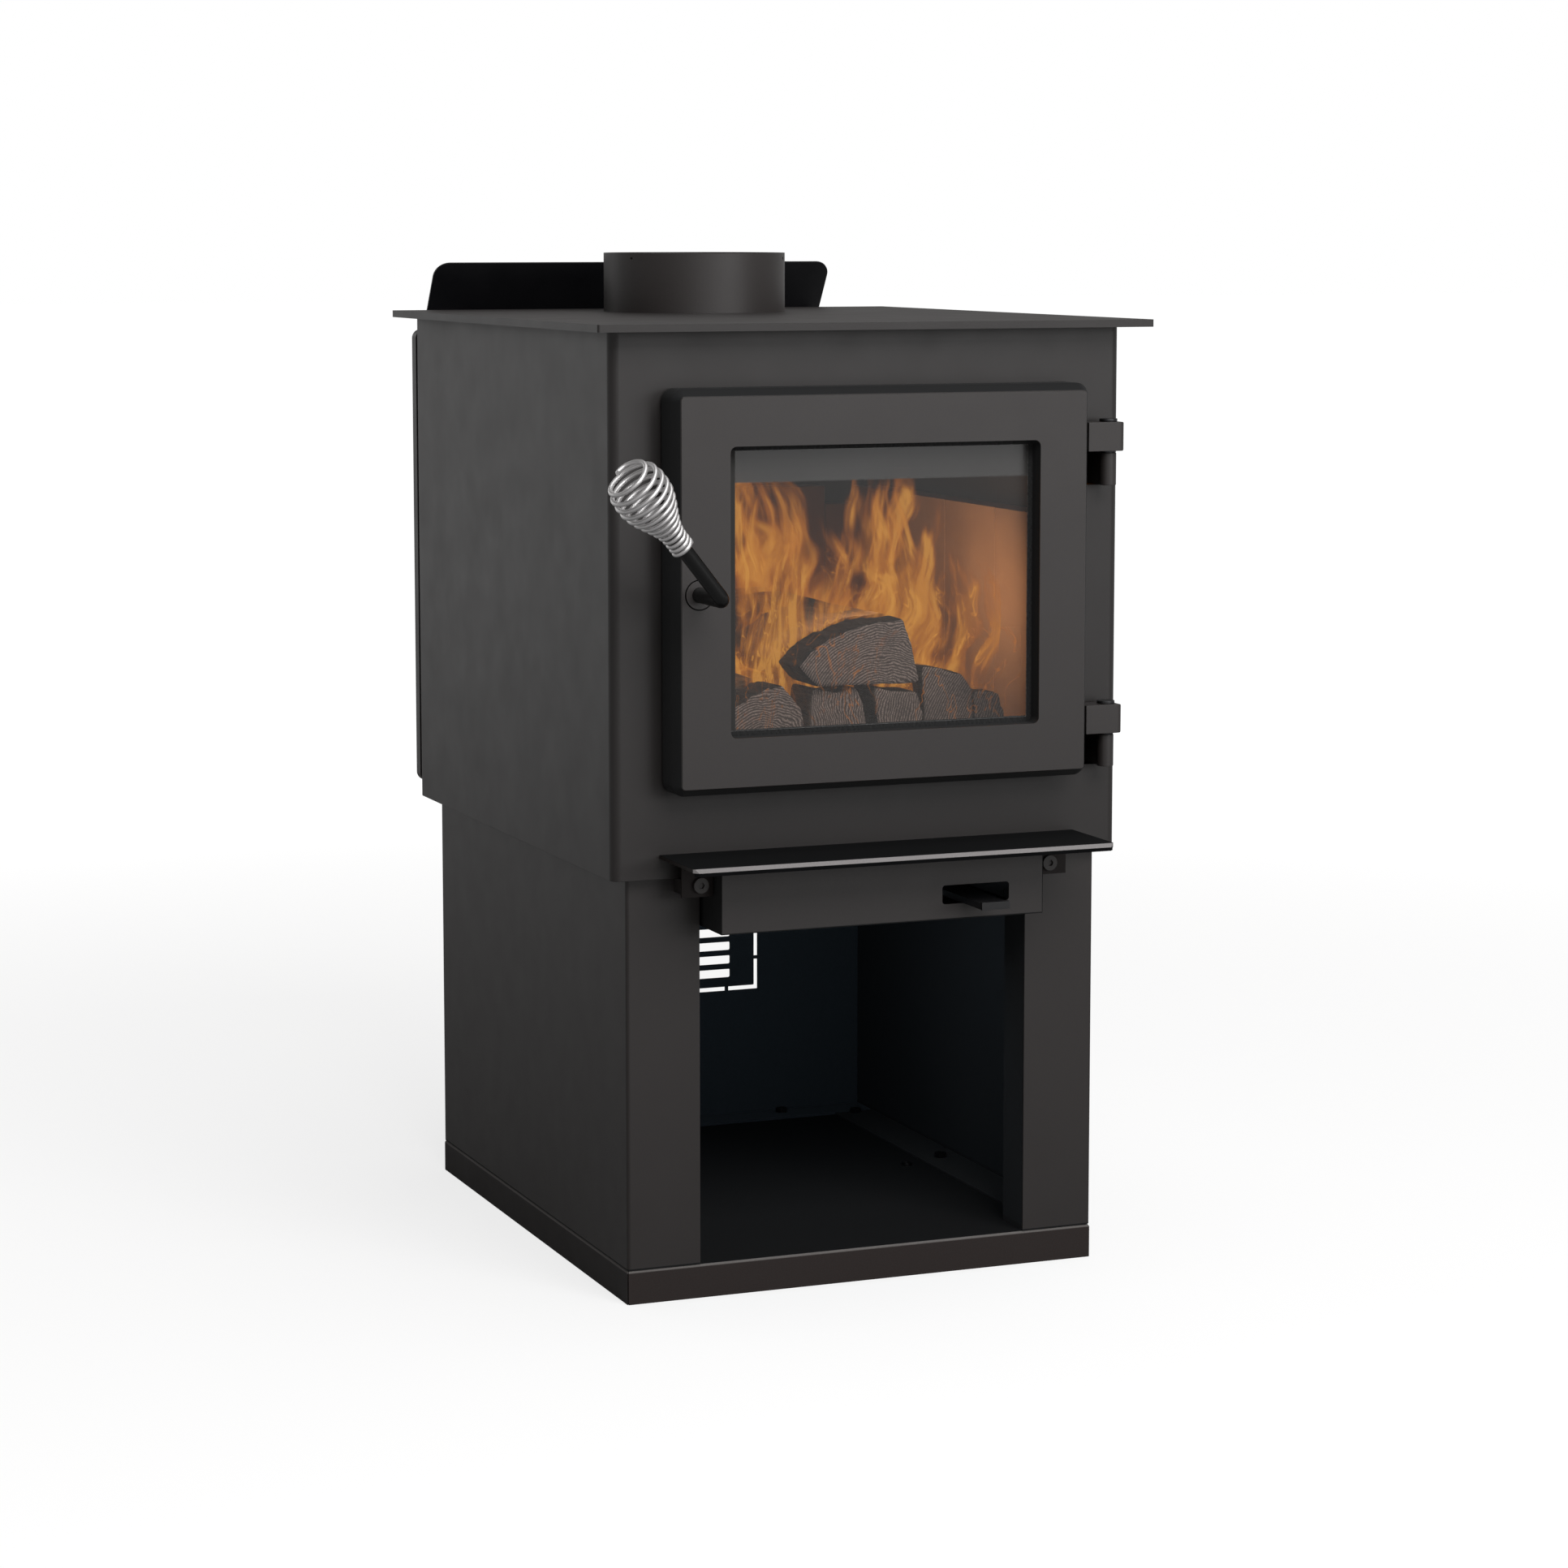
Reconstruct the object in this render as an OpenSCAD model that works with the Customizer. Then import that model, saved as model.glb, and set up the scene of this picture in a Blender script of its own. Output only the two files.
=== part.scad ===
// Wood burning stove on a pedestal with an open wood store.
// X points right, Y points back and Z points up; the door faces -Y.
// The origin is the centre of the base footprint, on the floor. Millimetres.

/* [Base and pedestal] */
// Width of the base and pedestal
base_w = 410; // [406:1:416]
// Depth of the base and pedestal
base_d = 498; // [494:1:502]
// Height of the base plinth
plinth_h = 28; // [24:1:32]
// Height of the top of the pedestal above the floor
pedestal_top = 345; // [343:1:347]
// Width of the pedestal's front posts
post_w = 62; // [58:1:63]
// Depth of the inward returns of the front posts
post_return = 39; // [30:1:45]

/* [Firebox] */
// Width of the firebox body
body_w = 440; // [438:1:442]
// Front face of the firebox body
body_front = -259.5; // [-260:0.5:-259]
// Rear face of the firebox body
body_back = 264.6; // [264:0.2:268]
// Height of the top of the firebox body above the floor
body_top = 776; // [774:1:778]
// Thickness of the firebox shell
shell_t = 4; // [3:0.5:4]
// Bend radius of the front corners of the shell
shell_r = 8; // [6:1:10]
// Thickness of a firebrick
brick_t = 25.5; // [25:0.5:25.5]
// Height of a standing firebrick
brick_h = 228; // [220:1:230]

/* [Top plate and flue] */
// Width of the top plate
top_w = 476.4; // [470:0.2:480]
// Thickness of the top plate
top_t = 6; // [5:0.5:6.5]
// Inner radius of the flue collar
flue_r = 77; // [77:0.5:77.5]
// Wall thickness of the flue collar
flue_wall = 3; // [2:0.5:3]
// Distance of the flue behind the origin
flue_y = 140; // [135:1:145]
// Height of the flue collar above the top plate
flue_h = 51.5; // [48:0.5:55]

/* [Door] */
// Width of the door's front face
door_w = 347; // [345:1:349]
// Lower edge of the door's front face
door_low = 420; // [419:0.5:421]
// Upper edge of the door's front face
door_high = 725.6; // [724:0.2:726.4]
// Front face of the door
door_front = -293.6; // [-295:0.2:-293]
// Depth of the flared rim of the door
flare_d = 9.7; // [9:0.1:11]
// How far the door's sides flare out
flare_x = 5.3; // [5:0.1:5.6]
// How far the door's ends flare out
flare_z = 6.3; // [6:0.1:6.6]
// Width of the window
window_w = 266; // [262:1:268]
// Lower edge of the window
window_low = 458.6; // [457:0.2:461]
// Upper edge of the window
window_high = 687; // [685:0.5:689]

/* [Hinge] */
// Distance of the hinge axis to the right of the origin
hinge_x = 201.5; // [201:0.5:202]
// Position of the hinge axis along Y
hinge_y = -276.4; // [-277:0.2:-276]
// Radius of the hinge pins
pin_r = 4; // [3.5:0.5:4.5]
// Radial running clearance of pins and shafts
run_gap = 0.05; // [0.03:0.01:0.08]

/* [Handle] */
// Distance of the handle shaft to the left of the origin
handle_x = 159; // [159:0.5:160]
// Height of the handle shaft above the floor
handle_z = 572.4; // [570:0.2:575]
// Radius of the handle rod
rod_r = 6.0; // [6:0.05:6.35]
// Distance of the elbow in front of the door
elbow_out = 51; // [46:1:54]
// Angle of the grip above the horizontal
grip_angle = 49.0; // [45:0.1:50]
// Angle at which the grip leans away from the door
grip_lean = 11.5; // [8:0.5:15]
// Visible length of rod between the elbow and the coil
rod_bare = 56; // [48:1:56]
// Length of the coil
coil_len = 81; // [80:1:90]
// Number of turns of the coil
coil_turns = 14.3; // [12.3:1:14.3]
// Radius of the coil's wire
wire_r = 1.8; // [1.7:0.05:1.95]

/* [Ash lip and air control] */
// Width of the ash lip
lip_w = 361.2; // [355:0.2:365]
// Front edge of the ash lip
lip_front = -338.5; // [-342:0.5:-335]
// Height of the top of the ash lip
lip_top = 364.5; // [364:0.5:366]
// Width of the air box
airbox_w = 279.6; // [276:0.2:280]
// Front face of the air box
airbox_front = -289.4; // [-290:0.2:-288]
// Underside of the air box
airbox_low = 302.5; // [301:0.5:304]
// Left end of the air slot
slot_left = 50.5; // [50:0.5:51]
// Right end of the air slot
slot_right = 109.5; // [109:0.5:110]
// Width of the air lever
lever_w = 24.4; // [22:0.2:25]
// How far the air lever stands out of the air box
lever_out = 39; // [36:1:40]

/* [Rear heat shield] */
// Width of the heat shield and the deflector
shield_w = 385; // [380:1:390]
// Rear face of the heat shield
shield_back = 320; // [316:1:322]
// Angle at which the deflector leans forward
deflector_lean = 33; // [28:1:36]

/* [Hidden] */
$fn = 64;
eps = 0.01;
sheet = 2;
plate = 5;
gap = 0.3;
weld = 0.2;

// Base and pedestal
plinth_bend = 3;
corner_slot = 0.9;
corner_slot_reach = 3.4;
plinth_screw_x = 147;
pedestal_bend = 3;
bottom_flange = 38;
rear_flange = 36;
rear_fold = 34;
bolt_r = 3;
pedestal_bolt_places = [[184, 10], [184, -190], [184, 205]];
rear_bolt_x = 120;
rear_bolt_y = 232;
small_screw_r = 1.8;
post_screw_y = -base_d/2 + 30;
post_screw_z = [309, 324];
knock_w = 202;
knock_low = 146.8;
knock_high = 245;
knock_cut = 4;
knock_tie = 3;
louvre_w = 146.8;
louvre_h = 8;
louvre_pitch = 12.9;
louvre_low = 159.5;
louvre_rows = 6;

// Firebox
body_in = body_w/2 - shell_t;
hearth_top = 390;
hearth_t = 5;
floor_top = hearth_top + 30;
brick_top = hearth_top + brick_h;
brick_front = -186;
brick_back = 230;
brick_gap = 0.8;
brick_in = body_in - brick_t;
rear_joints = [-body_in + 0.5, -147, -32, 83, 163, body_in - 0.5];
last_brick_drop = 17;
retainer_t = 3;
mouth_w = 304;
mouth_low = 440;
mouth_high = 703;
rail_top = 444;

// Secondary air and baffle
tube_r = 11;
tube_wall = 1.5;
tube_z = 668;
tube_y = [-120, -20, 80, 180];
tube_len = 410;
manifold_in = 194;
manifold_low = 652;
manifold_high = 686;
baffle_t = 25;
blanket_t = 20;

// Top plate, flue and rear panels
top_front = -284.3;
top_back = 274.3;
flue_low = body_top - 6;
flue_top = body_top + top_t + flue_h;
flue_out = flue_r + flue_wall;
collar_hole_r = 1.6;
collar_hole_z = flue_top - 5;
collar_hole_angles = [206.6, 326.6, 86.6];
cover_back = body_back + 11.5;
cover_low = 357;
cover_high = 765;
spacer_x = 150;
spacer_z = [430, 700];
shield_t = 1.5;
shield_low = 360;
shield_high = 770;
vent_x = [for (i = [-3 : 3]) i*44];
rivet_x = [-160, 0, 160];
rivet_z = 755;
deflector_root = 778;

// Door
door_back = door_front + 31.1;
pane_front = door_front + 15;
pane_t = 4;
pane_pad = 1.5;
tape_w = 12;
pane_w = window_w + 16;
pane_low = window_low - 8;
pane_high = window_high + 8;
skirt_t = 5;
skirt_w = door_w + 2*flare_x;
skirt_low = door_low - flare_z;
skirt_high = door_high + flare_z;
pocket_w = skirt_w - 2*skirt_t;
pocket_low = skirt_low + skirt_t;
pocket_high = skirt_high - skirt_t;
rope_w = 6.8;
rope_front = -270.6;
rope_back = body_front - 0.4;
clip_w = 40;
clip_t = 2;
clip_reach = 18;
clip_x = [-80, 80];

// Hinge
lug_low = [446.6, 676.4];
lug_h = 23.4;
lug_right = 211.8;
lug_corner = 2.5;
lug_block = 45;
lug_front = -287.4;
lug_back = -265.4;
barrel_r = 6.7;
barrel_h = 26.2;
barrel_drop = 1.8;
washer_t = 1.4;
pin_head_r = 7.3;
pin_head_h = 2.5;
arm_t = 8;
arm_back = -235;

// Handle and latch
bush_r = 9;
bush_flange_r = 11.2;
elbow_y = door_front - elbow_out;
cam_front = -270.3;
cam_t = 4;
cam_w = 13;
cam_len = 24;
cam_rest = 55;
stud_r = 4;
bend_r = 6.8;
bend_turn = 90 - grip_lean;
bend_run = bend_r*tan(bend_turn/2);
// How much thicker the bend is than the rod, so that the straight lengths end inside it
bend_swell = 0.06;
neck_r = rod_r + wire_r + 0.12;
bulb_r = 21.3;
mouth_r = 9.2;

// Air box, lever and damper
airbox_t = 1.6;
airbox_screw_x = airbox_w/2 - 7.6;
airbox_screw_y = [-235, -140];
slot_low = 315;
slot_high = 330.4;
lever_x = (slot_left + slot_right)/2;
lever_z = 315.5;
lever_t = 5;
damper_z = 341.6;
damper_t = 3;
damper_w = 190;
damper_front = -235;
damper_d = 70;
port_w = 16;
port_pitch = 38;
port_y = damper_front + damper_d/2;
air_ports = [for (i = [-1.5 : 1 : 1.5]) i*port_pitch];
lever_up_y = damper_front + 12;
lever_rivet_y = [lever_up_y + 13, lever_up_y + 27];

// Ash lip
lip_t = 3;
lip_chamfer = 3;
lip_fold = 6;
lip_corner = 4;
tab_in = 141;
tab_out = 167.5;
tab_front = -274.4;
tab_low = 331.5;
tab_screw_x = 152;
tab_screw_z = 341;

// Colours
c_steel = [0.25, 0.24, 0.23];
c_black = [0.10, 0.10, 0.10];
c_zinc = [0.65, 0.66, 0.68];
c_brick = [0.74, 0.62, 0.46];
c_wood = [0.55, 0.38, 0.22];

// ---- Shared shapes ----

// Rectangle with round corners, centred on the origin
module round_rect(w, h, r) {
    square([w - 2*r, h], center = true);
    square([w, h - 2*r], center = true);
    for (sx = [-1, 1], sy = [-1, 1])
        translate([sx*(w/2 - r), sy*(h/2 - r)])
            circle(r);
}

// Box given by its lowest and highest corners
module box(low, high) {
    translate(low)
        cube(high - low);
}

// Upright slab facing -Y with round corners, from y_front to y_back
module slab(w, z_low, z_high, y_front, y_back, r) {
    translate([0, y_back, (z_low + z_high)/2])
        rotate([90, 0, 0])
            linear_extrude(y_back - y_front)
                round_rect(w, z_high - z_low, r);
}

// Flat picture-frame ring facing -Y
module slab_ring(w, z_low, z_high, y_front, y_back, r, band) {
    difference() {
        slab(w, z_low, z_high, y_front, y_back, r);
        slab(w - 2*band, z_low + band, z_high - band, y_front - 1, y_back + 1, max(r - band, 1));
    }
}

// Rod along +Y from y_front to y_back
module rod_y(x, z, y_front, y_back, r) {
    translate([x, y_front, z])
        rotate([-90, 0, 0])
            cylinder(r = r, h = y_back - y_front);
}

// Both sides of the centre plane
module both_sides() {
    children();
    mirror([1, 0, 0])
        children();
}

// Pan-head screw whose head stands at the origin and whose shank runs down -Z
module pan_screw(head_r, head_h, shank_r, shank_len) {
    difference() {
        cylinder(r = head_r, h = head_h);
        translate([0, 0, head_h*0.45])
            cylinder(r = head_r*0.42, h = head_h, $fn = 6);
    }
    translate([0, 0, -shank_len])
        cylinder(r = shank_r, h = shank_len + eps);
}

// Hexagon bolt whose head stands at the origin and whose shank runs down -Z
module hex_bolt(across, head_h, shank_r, shank_len) {
    cylinder(r = across/sqrt(3), h = head_h, $fn = 6);
    translate([0, 0, -shank_len])
        cylinder(r = shank_r, h = shank_len + eps);
}

// ---- Base and pedestal ----

module base_floor() {
    color(c_steel)
        difference() {
            box([-base_w/2 + sheet + gap, -base_d/2 + sheet + gap, 0],
                [base_w/2 - sheet - gap, base_d/2 - sheet - gap, sheet]);
            for (sx = [-1, 1])
                translate([sx*plinth_screw_x, 0, -1])
                    cylinder(r = bolt_r, h = sheet + 2);
        }
}

// Block on the floor with its four top edges rounded
module round_topped(w, d, h, r) {
    intersection() {
        translate([0, d/2, 0])
            rotate([90, 0, 0])
                linear_extrude(d)
                    round_rect(w, 2*h, r);
        translate([-w/2, 0, 0])
            rotate([90, 0, 90])
                linear_extrude(w)
                    round_rect(d, 2*h, r);
        box([-w/2, -d/2, 0], [w/2, d/2, h]);
    }
}

module base_plinth() {
    color(c_steel)
        difference() {
            round_topped(base_w, base_d, plinth_h, plinth_bend);
            for (sx = [-1, 1], sy = [-1, 1])
                translate([sx*base_w/2, sy*base_d/2, 0])
                    rotate([0, 0, sx*sy*45])
                        box([-corner_slot_reach, -corner_slot/2, -1],
                            [corner_slot_reach, corner_slot/2, plinth_h + 1]);
            box([-base_w/2 + sheet, -base_d/2 + sheet, -1],
                [base_w/2 - sheet, base_d/2 - sheet, plinth_h - sheet]);
            for (sx = [-1, 1])
                translate([sx*plinth_screw_x, 0, 0])
                    cylinder(r = bolt_r, h = plinth_h + 1);
            both_sides()
                for (p = pedestal_bolt_places)
                    translate([p[0], p[1], 0])
                        cylinder(r = bolt_r, h = plinth_h + 1);
            for (sx = [-1, 1])
                translate([sx*rear_bolt_x, rear_bolt_y, 0])
                    cylinder(r = bolt_r, h = plinth_h + 1);
        }
}

module plinth_screws() {
    color(c_zinc)
        for (sx = [-1, 1])
            translate([sx*plinth_screw_x, 0, plinth_h])
                pan_screw(4.5, 2.6, bolt_r, plinth_h);
}

// Side of the pedestal: side wall, front post with its return, rear flange and end flanges
module pedestal_side() {
    x_out = base_w/2;
    y_out = base_d/2;
    z0 = plinth_h;
    difference() {
        union() {
            intersection() {
                translate([0, 0, z0])
                    linear_extrude(pedestal_top - z0)
                        round_rect(base_w, base_d, pedestal_bend);
                union() {
                    box([x_out - sheet, -y_out, z0], [x_out, y_out, pedestal_top]);
                    box([x_out - post_w, -y_out, z0], [x_out, -y_out + sheet, pedestal_top]);
                    box([x_out - rear_fold, y_out - sheet, z0], [x_out, y_out, pedestal_top]);
                }
            }
            box([x_out - post_w, -y_out, z0],
                [x_out - post_w + sheet, -y_out + post_return, pedestal_top]);
            for (z = [z0, pedestal_top - sheet])
                box([x_out - bottom_flange - sheet, -y_out + post_return + 1, z],
                    [x_out - eps, y_out - rear_flange - 2*sheet, z + sheet]);
        }
        for (p = pedestal_bolt_places)
            translate([p[0], p[1], z0 - 1])
                cylinder(r = bolt_r, h = sheet + 2);
        for (z = post_screw_z)
            translate([x_out - post_w - 1, post_screw_y, z])
                rotate([0, 90, 0])
                    cylinder(r = small_screw_r, h = sheet + 2);
    }
}

module pedestal_right() {
    color(c_steel)
        pedestal_side();
}

module pedestal_left() {
    color(c_steel)
        mirror([1, 0, 0])
            pedestal_side();
}

// Cut line of the knock-out, broken by ties
module knock_out_cut() {
    w = knock_w;
    tie_x = 70;
    tie_z = 30;
    difference() {
        slab_ring(w, knock_low, knock_high, -1, 1 + sheet, 0.5, knock_cut);
        for (sx = [-1, 1])
            box([sx*tie_x - knock_tie/2, -2, 0], [sx*tie_x + knock_tie/2, 4, pedestal_top]);
        for (z = [knock_low + tie_z, knock_high - tie_z])
            box([-w, -2, z - knock_tie/2], [w, 4, z + knock_tie/2]);
    }
}

module pedestal_back_panel() {
    y0 = base_d/2 - 2*sheet;
    w = base_w - 2*sheet - 2*gap;
    color(c_steel)
        difference() {
            union() {
                box([-w/2, y0, plinth_h], [w/2, y0 + sheet - eps, pedestal_top - gap]);
                box([-w/2, y0 - rear_flange + sheet, plinth_h], [w/2, y0 + eps, plinth_h + sheet]);
            }
            translate([0, y0, 0])
                knock_out_cut();
            for (i = [0 : louvre_rows - 1])
                slab(louvre_w, louvre_low + i*louvre_pitch, louvre_low + i*louvre_pitch + louvre_h,
                     y0 - 1, y0 + sheet + 1, 1.5);
            for (sx = [-1, 1])
                translate([sx*rear_bolt_x, rear_bolt_y, plinth_h - 1])
                    cylinder(r = bolt_r, h = sheet + 2);
        }
}

module pedestal_bolts() {
    z = plinth_h + sheet;
    color(c_zinc) {
        both_sides()
            for (p = pedestal_bolt_places)
                translate([p[0], p[1], z])
                    hex_bolt(10, 4, bolt_r, 12);
        for (sx = [-1, 1])
            translate([sx*rear_bolt_x, rear_bolt_y, z])
                hex_bolt(10, 4, bolt_r, 12);
    }
}

module post_screws() {
    color(c_zinc)
        both_sides()
            for (z = post_screw_z)
                translate([base_w/2 - post_w + sheet, post_screw_y, z])
                    rotate([0, 90, 0])
                        pan_screw(3.5, 2, small_screw_r, 6.4);
}

// ---- Firebox ----

// Plate that fills the firebox from wall to wall, its corners rounded to clear those of the shell
module inner_plate(low, thick) {
    front = body_front + shell_t + weld;
    back = body_back - plate - weld;
    translate([0, (front + back)/2, low])
        linear_extrude(thick)
            round_rect(2*(body_in - weld), back - front, shell_r - shell_t);
}

module firebox_floor() {
    color(c_steel)
        difference() {
            inner_plate(pedestal_top, plate);
            for (x = air_ports)
                box([x - port_w/2, port_y - 25, 0], [x + port_w/2, port_y + 25, body_top]);
        }
}

module firebox_shell() {
    y_mid = (body_front + body_back)/2;
    depth = body_back - body_front;
    color(c_steel)
        difference() {
            translate([0, y_mid, pedestal_top])
                linear_extrude(body_top - pedestal_top)
                    round_rect(body_w, depth, shell_r);
            translate([0, y_mid, pedestal_top - 1])
                linear_extrude(body_top - pedestal_top + 2)
                    round_rect(body_w - 2*shell_t, depth - 2*shell_t, shell_r - shell_t);
            box([-body_in, 0, pedestal_top - 1], [body_in, body_back + 1, body_top + 1]);
            slab(mouth_w, mouth_low, mouth_high, body_front - 1, body_front + shell_t + 1, 10);
            for (z = lug_low)
                box([183, body_front - 1, z - barrel_h - barrel_drop - 0.5],
                    [hinge_x + arm_t/2 + 0.5, body_front + shell_t + 1, z - barrel_drop + 0.5]);
        }
}

module firebox_back() {
    color(c_steel)
        box([-body_in + weld, body_back - plate, pedestal_top],
            [body_in - weld, body_back, body_top]);
}

module hearth_plate() {
    color(c_steel)
        inner_plate(hearth_top - hearth_t, hearth_t);
}

module hearth_supports() {
    z_low = pedestal_top + plate;
    z_high = hearth_top - hearth_t;
    color(c_steel)
        both_sides()
            difference() {
                box([170, -230, z_low], [200, 240, z_high]);
                box([173, -231, z_low + 3], [201, 241, z_high - 3]);
            }
}

module side_jambs() {
    y0 = body_front + shell_t;
    x0 = mouth_w/2;
    color(c_steel)
        both_sides()
            translate([0, 0, hearth_top])
                linear_extrude(mouth_high + 2 - hearth_top)
                    polygon([[x0, y0], [x0 + 3, y0], [brick_in - 0.5, brick_front - retainer_t],
                             [brick_in - 3.5, brick_front - retainer_t]]);
}

module log_rail() {
    y0 = body_front + shell_t;
    color(c_steel) {
        box([-mouth_w/2 + 1, y0, rail_top - 3], [mouth_w/2 - 1, -222, rail_top]);
        box([-mouth_w/2 + 1, -225, hearth_top], [mouth_w/2 - 1, -222, rail_top - 3 + eps]);
    }
}

module brick_retainers() {
    color(c_steel)
        both_sides()
            box([brick_in, brick_front - retainer_t, hearth_top],
                [body_in - weld, brick_front - gap, brick_top + 2]);
}

module floor_bricks() {
    cols = 3;
    rows = 2;
    w = 2*(brick_in - 1)/cols;
    d = (brick_back - brick_front)/rows;
    color(c_brick)
        for (i = [0 : cols - 1], j = [0 : rows - 1])
            box([-brick_in + 1 + i*w + brick_gap/2, brick_front + j*d + brick_gap/2, hearth_top],
                [-brick_in + 1 + (i + 1)*w - brick_gap/2, brick_front + (j + 1)*d - brick_gap/2,
                 floor_top]);
}

module rear_bricks() {
    last = len(rear_joints) - 2;
    color(c_brick)
        for (i = [0 : last])
            box([rear_joints[i] + brick_gap/2, brick_back + 0.5, hearth_top],
                [rear_joints[i + 1] - brick_gap/2, body_back - plate - 0.5,
                 i == last ? brick_top - last_brick_drop : brick_top]);
}

module right_bricks() {
    count = 4;
    d = (brick_back - brick_front)/count;
    color(c_brick)
        for (i = [0 : count - 1])
            box([brick_in, brick_front + i*d + brick_gap/2, hearth_top],
                [body_in - 0.5, brick_front + (i + 1)*d - brick_gap/2, brick_top]);
}

module left_bricks() {
    mirror([1, 0, 0])
        right_bricks();
}

module air_manifolds() {
    y_low = -150;
    y_high = 210;
    color(c_steel)
        both_sides()
            difference() {
                box([manifold_in, y_low, manifold_low], [body_in - weld, y_high, manifold_high]);
                box([manifold_in + 2, y_low + 2, manifold_low + 2],
                    [body_in - 2, y_high - 2, manifold_high - 2]);
                for (y = tube_y)
                    translate([manifold_in - 1, y, tube_z])
                        rotate([0, 90, 0])
                            cylinder(r = tube_r, h = 4);
            }
}

module secondary_air_tubes() {
    holes = 10;
    pitch = 34;
    color(c_steel)
        for (y = tube_y)
            translate([0, y, tube_z])
                difference() {
                    rotate([0, 90, 0])
                        cylinder(r = tube_r, h = tube_len, center = true);
                    rotate([0, 90, 0])
                        cylinder(r = tube_r - tube_wall, h = tube_len + 2, center = true);
                    for (i = [0 : holes - 1])
                        translate([(i - (holes - 1)/2)*pitch, 0, 0])
                            rotate([125, 0, 0])
                                cylinder(r = 2, h = tube_r + 1);
                }
}

module baffle_board() {
    color(c_brick)
        box([-body_in + 1, -130, manifold_high], [body_in - 1, brick_back, manifold_high + baffle_t]);
}

module baffle_blanket() {
    z = manifold_high + baffle_t;
    color([0.88, 0.87, 0.84])
        box([-body_in + 8, -120, z], [body_in - 8, brick_back - 8, z + blanket_t]);
}

module airwash_channel() {
    y0 = body_front + shell_t;
    z_low = mouth_high + 3;
    color(c_steel)
        difference() {
            box([-186, y0, z_low], [186, -222, z_low + 36]);
            box([-184, y0 + 2, z_low + 2], [184, -224, z_low + 34]);
            box([-150, y0 + 3, z_low - 1], [150, y0 + 9, z_low + 3]);
        }
}

// ---- Top plate, flue and rear panels ----

module stove_top() {
    color(c_steel)
        difference() {
            translate([0, (top_front + top_back)/2, body_top])
                linear_extrude(top_t)
                    round_rect(top_w, top_back - top_front, 2);
            translate([0, flue_y, body_top - 1])
                cylinder(r = flue_out, h = top_t + 2);
        }
}

module flue_collar() {
    color(c_steel)
        translate([0, flue_y, 0])
            difference() {
                rotate_extrude()
                    polygon([[flue_r, flue_low], [flue_r + 16, flue_low], [flue_r + 16, body_top],
                             [flue_out, body_top], [flue_out, flue_top], [flue_r, flue_top]]);
                for (a = collar_hole_angles)
                    rotate([0, 0, a])
                        translate([flue_r - 2, 0, collar_hole_z])
                            rotate([0, 90, 0])
                                cylinder(r = collar_hole_r, h = flue_wall + 4);
            }
}

module rear_cover() {
    color(c_steel)
        difference() {
            slab(body_w - 1, cover_low, cover_high, body_back, cover_back, 8);
            slab(body_w - 5, cover_low + 2, cover_high - 2, body_back - 1, cover_back - sheet, 6);
            for (x = [-spacer_x, spacer_x], z = spacer_z)
                rod_y(x, z, cover_back - 5, cover_back + 1, bolt_r);
        }
}

module shield_spacers() {
    color(c_zinc)
        for (x = [-spacer_x, spacer_x], z = spacer_z) {
            rod_y(x, z, cover_back, shield_back - shield_t, 7);
            rod_y(x, z, cover_back - 4, cover_back + eps, bolt_r);
            rod_y(x, z, shield_back - shield_t - eps, shield_back, bolt_r);
            rod_y(x, z, shield_back, shield_back + 3, 6);
        }
}

module heat_shield() {
    y0 = shield_back - shield_t;
    fold_x = shield_w/2 - shield_t/2;
    color(c_black)
        difference() {
            union() {
                slab(shield_w, shield_low, shield_high, y0, shield_back, 6);
                for (sx = [-1, 1])
                    box([sx*fold_x - shield_t/2, y0 - 15, shield_low + 8],
                        [sx*fold_x + shield_t/2, y0 + eps, shield_high - 8]);
            }
            for (x = [-spacer_x, spacer_x], z = spacer_z)
                rod_y(x, z, y0 - 1, shield_back + 1, bolt_r);
            for (x = rivet_x)
                rod_y(x, rivet_z, y0 - 1, shield_back + 1, 2);
            for (x = vent_x, z = [400, 500, 600])
                translate([x, 0, z])
                    slab(8, 0, 50, y0 - 1, shield_back + 1, 3.9);
        }
}

module rear_deflector() {
    length = 55;
    round = 14;
    t = shield_t;
    color(c_black)
        difference() {
            union() {
                box([-shield_w/2, shield_back, 740], [shield_w/2, shield_back + t, deflector_root]);
                translate([0, shield_back + t, deflector_root])
                    rotate([deflector_lean, 0, 0])
                        difference() {
                            slab(shield_w, -round - 20, length, -t, 0, round);
                            box([-shield_w, -5, -60], [shield_w, 5, 0]);
                        }
            }
            for (x = rivet_x)
                rod_y(x, rivet_z, shield_back - 1, shield_back + t + 1, 2);
        }
}

module shield_rivets() {
    color(c_zinc)
        for (x = rivet_x) {
            rod_y(x, rivet_z, shield_back - shield_t, shield_back + shield_t + eps, 2);
            rod_y(x, rivet_z, shield_back + shield_t, shield_back + shield_t + 1.3, 4);
        }
}

// ---- Ash lip ----

// Section of the lip as [y, z]: a plate whose front edge is chamfered and folded down
function lip_section() = let (inner = lip_chamfer - lip_t*(1 - tan(22.5))) [
    [lip_front, lip_top - lip_fold], [lip_front, lip_top - lip_chamfer],
    [lip_front + lip_chamfer, lip_top], [body_front, lip_top], [body_front, lip_top - lip_t],
    [lip_front + lip_t + inner, lip_top - lip_t], [lip_front + lip_t, lip_top - lip_t - inner],
    [lip_front + lip_t, lip_top - lip_fold]];

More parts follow.
